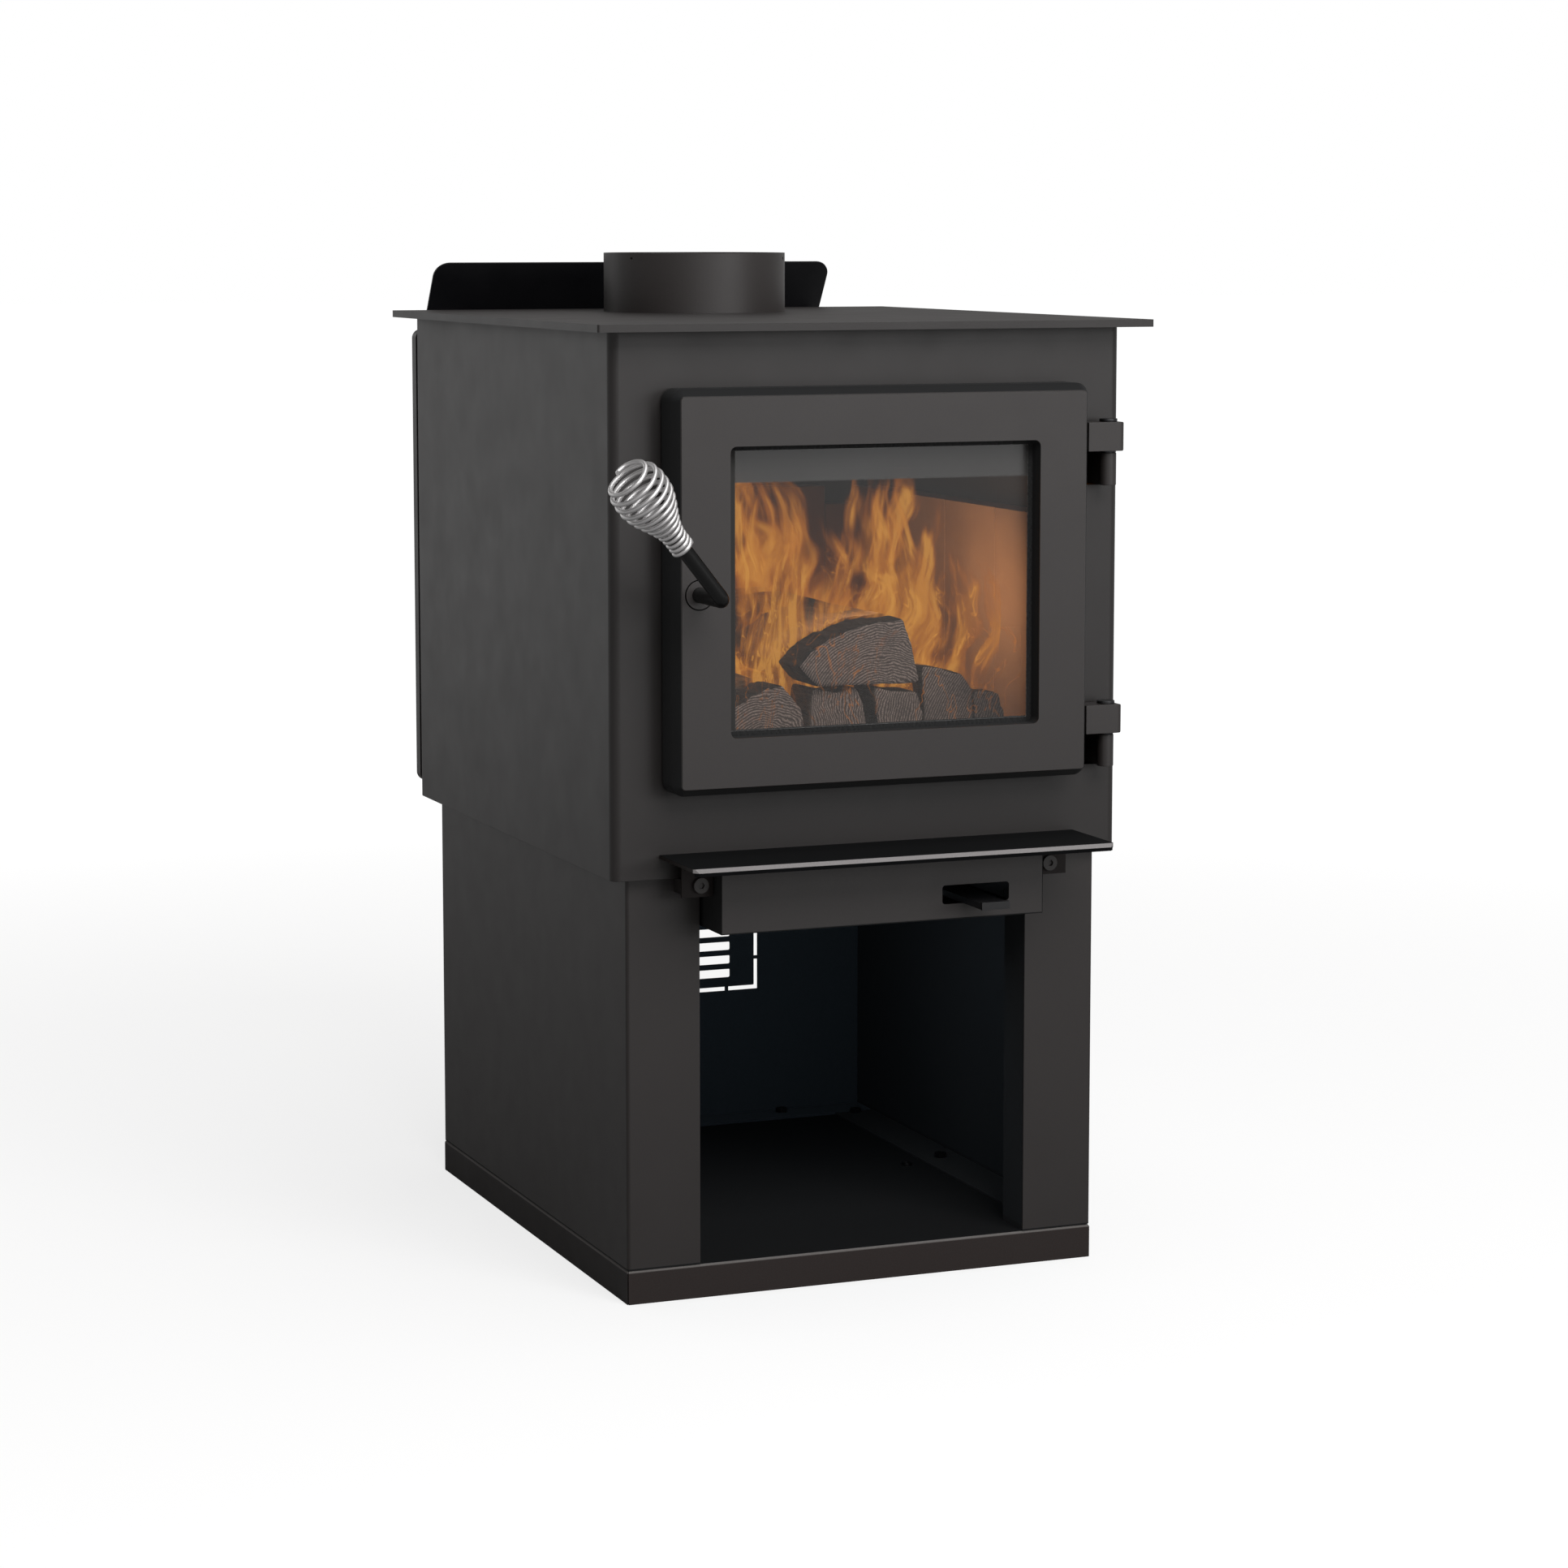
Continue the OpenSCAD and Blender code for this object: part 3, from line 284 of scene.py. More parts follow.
def glass(name):
    """Ceramic glass: a black border, clear over the fire, and a grey film above it; its faint white glow is a
    painted reflection, even over the clear part and fading upwards over the film.
    """
    s = Shader(name)
    haze = s.noise(6.0, 3.0, 0.5)
    border = 0.0
    for letter, (low, high) in CLEAR_GLASS.items():
        place = s.axis(letter)
        border = s.math("MAXIMUM", border, s.span(place, low, low - BORDER_BLUR))
        border = s.math("MAXIMUM", border, s.span(place, high, high + BORDER_BLUR))
    upper = s.span(s.axis("Z"), FILM_BOTTOM, FILM_BOTTOM + 2 * MM, 0.0, 1.0, smooth=True)
    # The emission below is a painted reflection on the glass: faint and even over the clear part, and over
    # the film fading upwards from its lower edge.
    film_painted_reflection = s.span(s.axis("Z"), FILM_BOTTOM + 1 * MM, FILM_BOTTOM + 25 * MM, 0.012, 0.0)
    patchy = s.span(haze, 0.3, 0.7, 0.95, 1.05)
    glow = s.math("MULTIPLY", patchy, s.add("ShaderNodeMix", {0: upper, 2: 0.05, 3: film_painted_reflection}).outputs[0])
    s.set(Base_Color=s.ramp(haze, (0.3, (0.022, 0.021, 0.020)), (0.7, (0.030, 0.029, 0.028))))
    s.set(Roughness=s.math("MAXIMUM", border, s.span(haze, 0.3, 0.7, 0.20, 0.26)))
    s.set(Alpha=s.math("MAXIMUM", border, s.span(upper, 0.0, 1.0, 0.20, 0.90)))
    s.set(Emission_Color=(0.97, 0.94, 0.93))
    s.set(Emission_Strength=s.math("MULTIPLY", glow, s.math("SUBTRACT", 1.0, border)))
    s.material.cycles.emission_sampling = "NONE"
    return s


def end_grain(name):
    """Sawn end of a log: growth rings round the heart, rough fibre and scorched patches."""
    s = Shader(name)
    wander = s.span(s.noise(38.0, 3.0, 0.5), 0.3, 0.7, -1.0, 1.0)
    wavy = s.pushed((3 * MM, 3 * MM, 0.0), wander)
    links = {"Vector": wavy, "Scale": 150.0, "Distortion": 0.4, "Detail": 3.0, "Detail Scale": 60.0}
    ring = s.add("ShaderNodeTexWave", links, wave_type="RINGS", rings_direction="Z").outputs["Fac"]
    fibre = s.noise(420.0, 4.0, 0.75)
    broad = s.noise(22.0, 4.0, 0.6)
    wood = s.ramp(ring, (0.15, (0.085, 0.058, 0.048)), (0.5, (0.22, 0.160, 0.132)),
                  (0.85, (0.42, 0.315, 0.265)))
    worn = s.mix(s.span(fibre, 0.42, 0.62, 0.0, 0.75), wood, (0.075, 0.050, 0.040))
    s.set(Base_Color=s.mix(s.span(broad, 0.5, 0.8, 0.0, 0.7), worn, (0.06, 0.048, 0.042)), Roughness=0.9)
    s.bump(ring, 0.3, 0.4 * MM)
    s.bump(fibre, 0.4, 0.3 * MM)
    return s


def log_side(name, bark):
    """Length of a log: cracked bark, or fibrous split wood, charred in patches."""
    s = Shader(name)
    along = s.stretched(1, 1, 0.12)
    fibre = s.noise(260.0 if not bark else 120.0, 5.0, 0.7, along, 0.6)
    cracks = s.span(s.cells(70.0 if bark else 160.0, "DISTANCE_TO_EDGE", s.stretched(1, 1, 0.3)), 0.0, 0.25)
    char = s.span(s.noise(14.0, 4.0, 0.6), 0.42, 0.62)
    pale = (0.075, 0.055, 0.042) if bark else (0.20, 0.135, 0.095)
    wood = s.ramp(fibre, (0.3, (0.022, 0.017, 0.014)), (0.7, pale))
    s.set(Base_Color=s.mix(char, wood, (0.010, 0.009, 0.009)), Roughness=0.96, Specular_IOR_Level=0.25)
    s.bump(cracks, 0.7 if bark else 0.2, 2.0 * MM)
    s.bump(fibre, 0.6, 0.9 * MM)
    return s


def embers(name):
    """Ash over live coals, which glow through its cracks."""
    s = Shader(name)
    vein = s.cells(75.0, "DISTANCE_TO_EDGE")
    patch = s.noise(16.0, 3.0, 0.6)
    ash = s.noise(300.0, 5.0, 0.7)
    hot = s.math("MULTIPLY", s.span(vein, 0.14, 0.0), s.span(patch, 0.47, 0.62))
    s.set(Base_Color=s.ramp(ash, (0.3, (0.03, 0.027, 0.025)), (0.75, (0.26, 0.24, 0.22))), Roughness=0.97)
    s.set(Emission_Color=s.ramp(hot, (0.0, (0.5, 0.06, 0.01)), (1.0, (1.0, 0.36, 0.06))))
    s.set(Emission_Strength=s.math("MULTIPLY", hot, 1.6))
    s.bump(ash, 0.6, 1.0 * MM)
    s.bump(vein, 0.5, 3.0 * MM)
    s.material.cycles.emission_sampling = "NONE"
    return s


# Height of the flames from left to right across the firebox, as shares of the tallest.
FLAME_HEIGHTS = ((0.0, 1.0), (0.2, 0.95), (0.47, 0.55), (0.72, 1.0), (0.86, 0.7), (1.0, 0.2))


def flame(name, bulk=1.0):
    """Translucent fire: leaning tongues with vertical streaks, and thin filaments.

    bulk scales the tongues; at 0 only the filaments are left.
    """
    s = Shader(name)
    sway = s.span(s.noise(7.0, 2.0, 0.5), 0.25, 0.75, -1.0, 1.0)
    bent = s.pushed((35 * MM, 0.0, 0.0), sway)
    body = s.noise(26.0, 3.0, 0.55, s.stretched(1.0, 1.0, 0.26, source=bent), 0.25)
    streak = s.noise(120.0, 3.0, 0.6, s.stretched(1.0, 1.0, 0.10, source=bent), 0.2)
    thread = s.noise(46.0, 3.0, 0.6, s.stretched(1.0, 1.0, 0.42, source=bent), 0.6)
    ridge = s.span(s.math("ABSOLUTE", s.math("SUBTRACT", thread, 0.5)), 0.013, 0.0, 0.0, 1.0, smooth=True)
    z = s.axis("Z")
    heights = [(place, (grey, grey, grey)) for place, grey in FLAME_HEIGHTS]
    reach = s.ramp(s.span(s.axis("X"), -0.18, 0.18), *heights)
    height = s.math("DIVIDE", s.span(z, 0.43, 0.65), s.span(reach, 0.0, 1.0, 0.4, 1.0))
    need = s.math("ADD", s.math("MULTIPLY", s.math("MULTIPLY", height, height), 0.12), 0.42)
    fill = s.span(s.math("SUBTRACT", body, need), 0.0, 0.14, 0.0, 1.0, smooth=True)
    lines = s.span(streak, 0.36, 0.62, 0.45, 1.0, smooth=True)
    tongue = s.math("MULTIPLY", s.math("MULTIPLY", fill, bulk), lines)
    low_down = s.math("MULTIPLY", ridge, s.span(z, 0.60, 0.52))
    wisp = s.math("MULTIPLY", low_down, s.span(body, 0.44, 0.54))
    heat = s.math("ADD", tongue, s.math("MULTIPLY", wisp, 0.55))
    fade = s.math("MULTIPLY", s.span(z, 0.660, FILM_BOTTOM), s.span(z, 0.425, 0.45))
    colour = s.ramp(heat, (0.0, (0.42, 0.10, 0.010)), (0.4, (0.53, 0.160, 0.015)),
                    (0.8, (0.61, 0.225, 0.025)), (1.0, (0.70, 0.30, 0.042)))
    glow = s.add("ShaderNodeEmission", {"Color": colour, "Strength": 1.12}).outputs[0]
    clear = s.add("ShaderNodeBsdfTransparent").outputs[0]
    share = s.math("MULTIPLY", s.math("MINIMUM", heat, 1.0), s.math("MULTIPLY", fade, 0.80))
    fire = s.add("ShaderNodeMixShader", {0: share, 1: clear, 2: glow}).outputs[0]
    s.feed(s.output.inputs[0], fire)
    s.tree.nodes.remove(s.surface)
    s.material.cycles.emission_sampling = "NONE"
    return s


COAL_DARK = (0.0165, 0.0134, 0.0128)
COAL_LIGHT = (0.0185, 0.0152, 0.0145)
UMBER_DARK = (0.0130, 0.0100, 0.0094)
UMBER_LIGHT = (0.0145, 0.0114, 0.0108)
# The colours below paint light and shade onto the stove paint: the near black is painted shade, the navy and
# bluish grey are painted shade inside the wood store, the plinth's front colour is painted light, and the two
# pale greys are painted highlights on rounded edges.
PAINTED_SHADE = (0.0014, 0.0016, 0.0020)
PAINTED_STORE_SHADE = (0.0062, 0.0078, 0.0100)
PAINTED_STORE_SHADE_GREY = (0.0250, 0.0320, 0.0390)
PLINTH_FRONT_PAINTED_LIGHT = (0.0270, 0.0215, 0.0205)
PLINTH_EDGE_PAINTED_HIGHLIGHT = (0.1200, 0.1120, 0.1080)
LIP_EDGE_PAINTED_HIGHLIGHT = (0.20, 0.19, 0.19)

CHARCOAL = paint("charcoal_paint", COAL_DARK, COAL_LIGHT)
BODY_PAINT = paint("body_paint", (0.0090, 0.0068, 0.0064), (0.0105, 0.0082, 0.0078))
# Painted shade: the pedestal's faces inside the wood store turn navy, their lowest few mm there near black,
# and its bottom edge over the base near black as the groove's shade.
POST_PAINT = paint("pedestal_paint", UMBER_DARK, UMBER_LIGHT,
                   painted_light=[(PAINTED_STORE_SHADE, [("Y", -248.2, -247.6), ("Y", 248.6, 247.9), ("X", 204.2, 203.6)]),
                          (PAINTED_SHADE, [("Y", -248.2, -247.6), ("X", 204.2, 203.6), ("Z", 33.0, 32.0)]),
                          (PAINTED_SHADE, [("Z", 29.4, 29.1)])])
# Painted shade: the back panel's face into the wood store is a bluish grey, standing in for the dim light
# there.
PANEL_PAINT = paint("back_panel_paint", UMBER_DARK, UMBER_LIGHT,
                    painted_light=[(PAINTED_STORE_SHADE_GREY, [("Y", 246.6, 246.2)])])
# Painted light: the front face is painted lighter than the sides, a pale band on the rounded top edge is a
# painted highlight, and the top face is painted shade.
PLINTH_PAINT = paint("plinth_paint", UMBER_DARK, UMBER_LIGHT,
                     painted_light=[(PLINTH_FRONT_PAINTED_LIGHT, [("Y", -248.0, -248.9)]),
                            (PLINTH_EDGE_PAINTED_HIGHLIGHT, [("Z", 25.4, 26.2)]),
                            (PAINTED_SHADE, [("Z", 27.3, 27.6)])],
                     shine=0.2)
# Painted shade: the whole door frame behind its front face, the skirt round it and the window's reveal, goes
# near black.
DOOR_PAINT = paint("door_paint", COAL_DARK, COAL_LIGHT, painted_light=[(PAINTED_SHADE, [("Y", -292.9, -292.2)])])
# Painted shade: the air box's sides and its bottom go near black.
AIR_BOX_PAINT = paint("air_box_paint", COAL_DARK, COAL_LIGHT,
                      painted_light=[(PAINTED_SHADE, [("X", 138.8, 139.3)]), (PAINTED_SHADE, [("Z", 304.0, 303.2)])])
# A painted highlight runs along the ash lip's front fold; its top face and the flange under the fold are
# painted shade.
LIP_PAINT = paint("ash_lip_paint", COAL_DARK, COAL_LIGHT,
                  painted_light=[(LIP_EDGE_PAINTED_HIGHLIGHT, [("Y", -334.0, -334.4)]), (PAINTED_SHADE, [("Z", 364.2, 364.45)]),
                         (PAINTED_SHADE, [("Z", 361.5, 361.2), ("Y", -330.0, -331.0)])],
                  shine=0.12)
DARK_INSIDE = paint("inside_paint", (0.007, 0.008, 0.010), (0.012, 0.014, 0.017), (0.5, 0.62), 0.5)
SOOT = paint("soot", (0.004, 0.004, 0.004), (0.010, 0.009, 0.009), (0.85, 0.95), 0.5)
BLACK = paint("black_paint", (0.002, 0.002, 0.003), (0.003, 0.003, 0.004), (0.35, 0.45), 0.15)
ROD_BLACK = paint("rod_black", (0.0020, 0.0020, 0.0020), (0.0034, 0.0034, 0.0034), (0.30, 0.38), 0.06,
                  shine=0.3)
MILL_STEEL = steel("mill_steel", (0.10, 0.095, 0.09), (0.19, 0.18, 0.17), (0.4, 0.6))
OXIDE = steel("black_oxide", (0.035, 0.035, 0.037), (0.06, 0.06, 0.062), (0.35, 0.5))
ZINC = steel("zinc_hardware", (0.42, 0.42, 0.43), (0.55, 0.55, 0.56), (0.25, 0.4))
WIRE = steel("chrome_wire", (0.56, 0.55, 0.55), (0.66, 0.65, 0.65), (0.42, 0.50), 900.0)
BRICK = firebrick("firebrick")
WOOL = wool("ceramic_wool")
ROPE = rope_yarn("gasket_rope", (0.10, 0.10, 0.095), (0.32, 0.315, 0.30))
TAPE = rope_yarn("gasket_tape", (0.0016, 0.0018, 0.0020), (0.0032, 0.0034, 0.0036))
GLASS = glass("glass")
END_GRAIN = end_grain("log_end")
BARK = log_side("log_bark", True)
SPLIT = log_side("log_split", False)
EMBERS = embers("ember_bed")
FLAME = flame("flame")
WISPS = flame("wisps", 0.0)

FINISHES = {
    CHARCOAL: ["flue_collar", "ash_lip_brackets", "ash_lip_screws", "hinge_brackets", "door_hinge_lugs",
               "handle_bushing"],
    BODY_PAINT: ["firebox_shell", "firebox_back", "stove_top", "rear_cover"],
    POST_PAINT: ["pedestal_left", "pedestal_right"],
    PANEL_PAINT: ["pedestal_back_panel"],
    PLINTH_PAINT: ["base_plinth"],
    DOOR_PAINT: ["door_frame"],
    AIR_BOX_PAINT: ["air_box"],
    LIP_PAINT: ["ash_lip"],
    DARK_INSIDE: ["base_floor", "firebox_floor", "hearth_plate", "hearth_supports", "side_jambs"],
    SOOT: ["air_manifolds", "secondary_air_tubes", "airwash_channel", "log_rail", "brick_retainers"],
    BLACK: ["heat_shield", "rear_deflector", "air_lever"],
    ROD_BLACK: ["handle_rod"],
    MILL_STEEL: ["air_damper", "damper_guides"],
    OXIDE: ["plinth_screws", "pedestal_bolts", "post_screws", "hinge_pins", "hinge_washers"],
    ZINC: ["shield_spacers", "shield_rivets", "air_box_screws", "latch_catch", "glass_clips",
           "glass_clip_screws", "latch_cam", "cam_nut", "lever_rivets"],
    BRICK: ["floor_bricks", "rear_bricks", "left_bricks", "right_bricks", "baffle_board"],
    WOOL: ["baffle_blanket"],
    TAPE: ["glass_gasket"],
    GLASS: ["door_glass"],
}
for finish, names in FINISHES.items():
    for name in names:
        for material_slot in NODES[name].material_slots:
            material_slot.material = finish.material


# ---- Edge rounding on CAD nodes ----

# Edges sharper than SHARP are rounded, and shading runs smoothly over edges flatter than CREASE.
SHARP = math.radians(32)
CREASE = math.radians(38)
ON_PLANE = 0.05 * MM


def group_with_geometry(name):
    group = bpy.data.node_groups.new(name, "GeometryNodeTree")
    group.interface.new_socket("Geometry", in_out="INPUT", socket_type="NodeSocketGeometry")
    group.interface.new_socket("Geometry", in_out="OUTPUT", socket_type="NodeSocketGeometry")
    return group, group.nodes.new("NodeGroupInput"), group.nodes.new("NodeGroupOutput")


def chained(group, kind, **inputs):
    node = group.nodes.new(kind)
    for key, value in inputs.items():
        socket = node.inputs[key.replace("_", " ")]
        if isinstance(value, bpy.types.NodeSocket):
            group.links.new(value, socket)
        else:
            socket.default_value = value
    return node


def smooth_group():
    """Smooth shading across shallow edges and a crease at the others."""
    group, entry, leave = group_with_geometry("smooth_by_angle")
    cleared = chained(group, "GeometryNodeRemoveAttribute", Geometry=entry.outputs[0], Name="custom_normal")
    faces = chained(group, "GeometryNodeSetShadeSmooth", Geometry=cleared.outputs[0])
    faces.domain = "FACE"
    angle = group.nodes.new("GeometryNodeInputMeshEdgeAngle").outputs["Unsigned Angle"]
    shallow = group.nodes.new("FunctionNodeCompare")
    shallow.operation = "LESS_THAN"
    group.links.new(angle, shallow.inputs["A"])
    shallow.inputs["B"].default_value = CREASE
    edges = chained(group, "GeometryNodeSetShadeSmooth", Geometry=faces.outputs[0])
    edges.domain = "EDGE"
    group.links.new(shallow.outputs[0], edges.inputs["Shade Smooth"])
    group.links.new(edges.outputs[0], leave.inputs[0])
    return group


def calc(group, operation, *values):
    node = group.nodes.new("ShaderNodeMath")
    node.operation = operation
    for socket, value in zip(node.inputs, values):
        if isinstance(value, bpy.types.NodeSocket):
            group.links.new(value, socket)
        else:
            socket.default_value = value
    return node.outputs[0]


def store_weight(group, entry, leave, full, share):
    """Stores the bevel weight of sharp edges: 1 where full is 1, and share elsewhere."""
    angle = group.nodes.new("GeometryNodeInputMeshEdgeAngle").outputs["Unsigned Angle"]
    sharp = calc(group, "GREATER_THAN", angle, SHARP)
    weight = calc(group, "MULTIPLY", sharp, calc(group, "MAXIMUM", full, share))
    store = chained(group, "GeometryNodeStoreNamedAttribute", Geometry=entry.outputs[0],
                    Name="bevel_weight_edge")
    store.domain = "EDGE"
    store.data_type = "FLOAT"
    group.links.new(weight, store.inputs["Value"])
    group.links.new(store.outputs[0], leave.inputs[0])


def edge_position(group):
    """The x, y and z sockets of an edge's middle."""
    place = group.nodes.new("ShaderNodeSeparateXYZ")
    group.links.new(group.nodes.new("GeometryNodeInputPosition").outputs[0], place.inputs[0])
    return place.outputs


def bend_group(name, low, high, planes, share):
    """Edge weights: 1 on sharp edges where two of the box's named planes meet, and share on the others.

    planes names sides of the box low to high: x, y, z for the low side and X, Y, Z for the high side.
    """
    group, entry, leave = group_with_geometry(name)
    place = edge_position(group)
    count = 0.0
    for letter in planes:
        side = low if letter.islower() else high
        index = "xyz".index(letter.lower())
        on_plane = calc(group, "COMPARE", place[index], side[index], ON_PLANE)
        count = calc(group, "ADD", count, on_plane)
    store_weight(group, entry, leave, calc(group, "GREATER_THAN", count, 1.5), share)
    return group


def window_group(name, front, low, high, share):
    """Edge weights: 1 on the front edges of the window opening from low to high, and share on the others."""
    group, entry, leave = group_with_geometry(name)
    place = edge_position(group)

    def within(index, from_low, to_high):
        centre = (from_low + to_high) / 2
        return calc(group, "COMPARE", place[index], centre, (to_high - from_low) / 2 + 0.2 * MM)

    inside = calc(group, "MULTIPLY", within(0, low.x, high.x), within(2, low.z, high.z))
    rim = calc(group, "MULTIPLY", inside, calc(group, "COMPARE", place[1], front, ON_PLANE))
    store_weight(group, entry, leave, rim, share)
    return group


SMOOTH = smooth_group()


def soften(name, width, weights=None):
    """Rounds a CAD node's sharp edges by width, or by width times their weight in the weights group."""
    obj = NODES[name]
    weld = obj.modifiers.new("weld", "WELD")
    weld.merge_threshold = 0.01 * MM
    flat = obj.modifiers.new("flat", "DECIMATE")
    flat.decimate_type = "DISSOLVE"
    flat.angle_limit = math.radians(0.4)
    if weights:
        obj.modifiers.new("weights", "NODES").node_group = weights
    bevel = obj.modifiers.new("bevel", "BEVEL")
    bevel.limit_method = "WEIGHT" if weights else "ANGLE"
    bevel.angle_limit = SHARP
    bevel.width = width
    bevel.segments = 4 if weights else 2
    bevel.use_clamp_overlap = True
    obj.modifiers.new("smooth", "NODES").node_group = SMOOTH
    normals = obj.modifiers.new("normals", "WEIGHTED_NORMAL")
    normals.keep_sharp = True
    normals.weight = 100


FINE = 0.4
# Folded sheet: the radius of the bends in mm, and the sides of the box that meet in them.
FOLDED = {
    "air_box": (2.4, "xXyz"),
    "rear_cover": (3.0, "xXYzZ"),
    "stove_top": (1.6, "xXyYZ"),
    "heat_shield": (1.0, "xXyY"),
}
for name, (bend, planes) in FOLDED.items():
    low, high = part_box(name)
    soften(name, bend * MM, bend_group("bends_of_" + name, low, high, planes, FINE / bend))

WINDOW_LOW = Vector((-133.0, 0.0, 458.6)) * MM
WINDOW_HIGH = Vector((133.0, 0.0, 687.0)) * MM
WINDOW_BEND = 2.6
DOOR_FINE = 0.9
door_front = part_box("door_frame")[0].y
window_weights = window_group("window_bend", door_front, WINDOW_LOW, WINDOW_HIGH, DOOR_FINE / WINDOW_BEND)
soften("door_frame", WINDOW_BEND * MM, window_weights)

# Radius in mm of the other nodes' edges.
EDGE_ROUNDING = {
    0.9: ["door_hinge_lugs", "floor_bricks", "rear_bricks", "left_bricks", "right_bricks"],
    0.6: ["flue_collar", "baffle_board", "hinge_brackets", "log_rail", "air_manifolds"],
    FINE: ["base_plinth", "pedestal_left", "pedestal_right", "ash_lip", "pedestal_back_panel", "base_floor",
           "firebox_shell", "firebox_back", "firebox_floor", "air_lever", "ash_lip_brackets",
           "rear_deflector", "side_jambs", "brick_retainers", "hearth_plate", "hearth_supports",
           "airwash_channel", "glass_clips", "latch_catch", "latch_cam", "hinge_pins", "shield_spacers",
           "secondary_air_tubes", "baffle_blanket", "air_damper", "damper_guides"],
    0.2: ["plinth_screws", "pedestal_bolts", "post_screws", "shield_rivets", "ash_lip_screws",
          "air_box_screws", "lever_rivets", "hinge_washers", "glass_clip_screws", "cam_nut", "door_glass",
          "handle_bushing", "handle_rod", "glass_gasket"],
}
for radius, names in EDGE_ROUNDING.items():
    for name in names:
        soften(name, radius * MM)


# ---- Handle grip ----

ELBOW = Vector((-159.0, -344.6, 572.4)) * MM
GRIP_ANGLE = math.radians(49.0)
GRIP_LEAN = math.radians(11.5)
ROD_BARE = 56 * MM
ROD_RADIUS = 6.0 * MM
COIL_LENGTH = 81 * MM
COIL_TURNS = 14.3
WIRE_RADIUS = 1.8 * MM
NECK = ROD_RADIUS + WIRE_RADIUS + 0.12 * MM
BULB = 21.3 * MM
MOUTH = 9.2 * MM


SHOULDER = 0.76


def coil_radius(s):
    """Radius of the wire's centre at fraction s of the coil's length."""
    if s < SHOULDER:
        return NECK + (BULB - NECK) * smoothstep(s, 0.15, 0.70)
    past = (s - SHOULDER) / 0.24
    return MOUTH + (BULB - MOUTH) * math.sqrt(max(0.0, 1 - past ** 2))


def coil_grip():
    """The grip's wire, wound round the rod's end and out into an open bulb."""
    turn = Matrix.Rotation(math.pi + GRIP_ANGLE, 4, "Y") @ Matrix.Rotation(-GRIP_LEAN, 4, "Z")
    place = Matrix.Translation(ELBOW) @ turn @ Matrix.Rotation(math.pi / 2, 4, "Y")
    steps = round(COIL_TURNS * 60)
    points = []
    for step in range(steps + 1):
        q = step / steps
        s = (2 * q + q * q) / 3
        angle = 2 * math.pi * COIL_TURNS * q
        r = coil_radius(s)
        points.append(place @ Vector((r * math.cos(angle), r * math.sin(angle), ROD_BARE + s * COIL_LENGTH)))
    wire = wire_through("coil_wire", points, WIRE_RADIUS)
    wire.data.materials.append(WIRE.material)
    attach(wire, "handle")
    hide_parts("handle_coil_grip")


coil_grip()


# ---- Door rope gasket ----


def round_rectangle(low, high, radius, per_corner):
    """Points on the round corners of a rectangle in x and z that has x = 0 inside it."""
    corners = ((high[0], high[1], 0), (low[0], high[1], 90), (low[0], low[1], 180), (high[0], low[1], 270))
    points = []
    for x, z, start in corners:
        cx = x - math.copysign(radius, x)
        cz = z - radius if z == high[1] else z + radius
        for i in range(per_corner + 1):
            a = math.radians(start + 90 * i / per_corner)
            points.append((cx + radius * math.cos(a), cz + radius * math.sin(a)))
    return points


def evenly(points, step):
    """The closed line through the points, cut into equal steps."""
    loop = [Vector(p) for p in points]
    loop.append(loop[0])
    lengths = [(b - a).length for a, b in zip(loop, loop[1:])]
    count = round(sum(lengths) / step)
    spacing = sum(lengths) / count
    result = []
    walked = 0.0
    index = 0
    for i in range(count):
        target = i * spacing
        while walked + lengths[index] < target:
            walked += lengths[index]
            index += 1
        result.append(loop[index].lerp(loop[index + 1], (target - walked) / lengths[index]))
    return result


ROPE_WIDTH = 6.8 * MM
ROPE_WEAVE = 0.5 * MM
ROPE_STEP = 1.1 * MM
ROPE_PLAIT = 9.0 * MM


def rope_gasket():
    """Braided rope pressed flat in the door's pocket: two sets of strands that cross round a soft core."""
    low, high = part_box("door_gasket")
    half_deep = (high.y - low.y) / 2 - 1.1 * ROPE_WEAVE
    half_wide = ROPE_WIDTH / 2 - 1.1 * ROPE_WEAVE
    inset = ROPE_WIDTH / 2
    centre_y = (low.y + high.y) / 2
    corners = round_rectangle((low.x + inset, low.z + inset), (high.x - inset, high.z - inset), 9 * MM, 6)
    line = evenly(corners, ROPE_STEP)
    count = len(line)
    sides = 20
    plaits = round(count * ROPE_STEP / ROPE_PLAIT)
    verts = []
    for i, point in enumerate(line):
        ahead = line[(i + 1) % count] - line[i - 1]
        across = Vector((ahead.y, -ahead.x)).normalized()
        for k in range(sides):
            a = 2 * math.pi * k / sides
            run = 2 * math.pi * plaits * i / count
            weave = abs(math.sin(2 * a + run)) * abs(math.sin(2 * a - run))
            lift = ROPE_WEAVE * weave
            out = across * ((half_wide + lift) * math.cos(a))
            y = centre_y + (half_deep + lift) * math.sin(a)
            verts.append((point.x + out.x, y, point.y + out.y))
    faces = []
    for i in range(count):
        ring = i * sides
        next_ring = (i + 1) % count * sides
        for k in range(sides):
            n = (k + 1) % sides
            faces.append((ring + k, ring + n, next_ring + n, next_ring + k))
    rope = new_object("rope_gasket", verts, faces)
    rope.data.materials.append(ROPE.material)
    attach(rope, "door")
    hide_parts("door_gasket")


rope_gasket()


# ---- Firewood ----

BED = 421 * MM


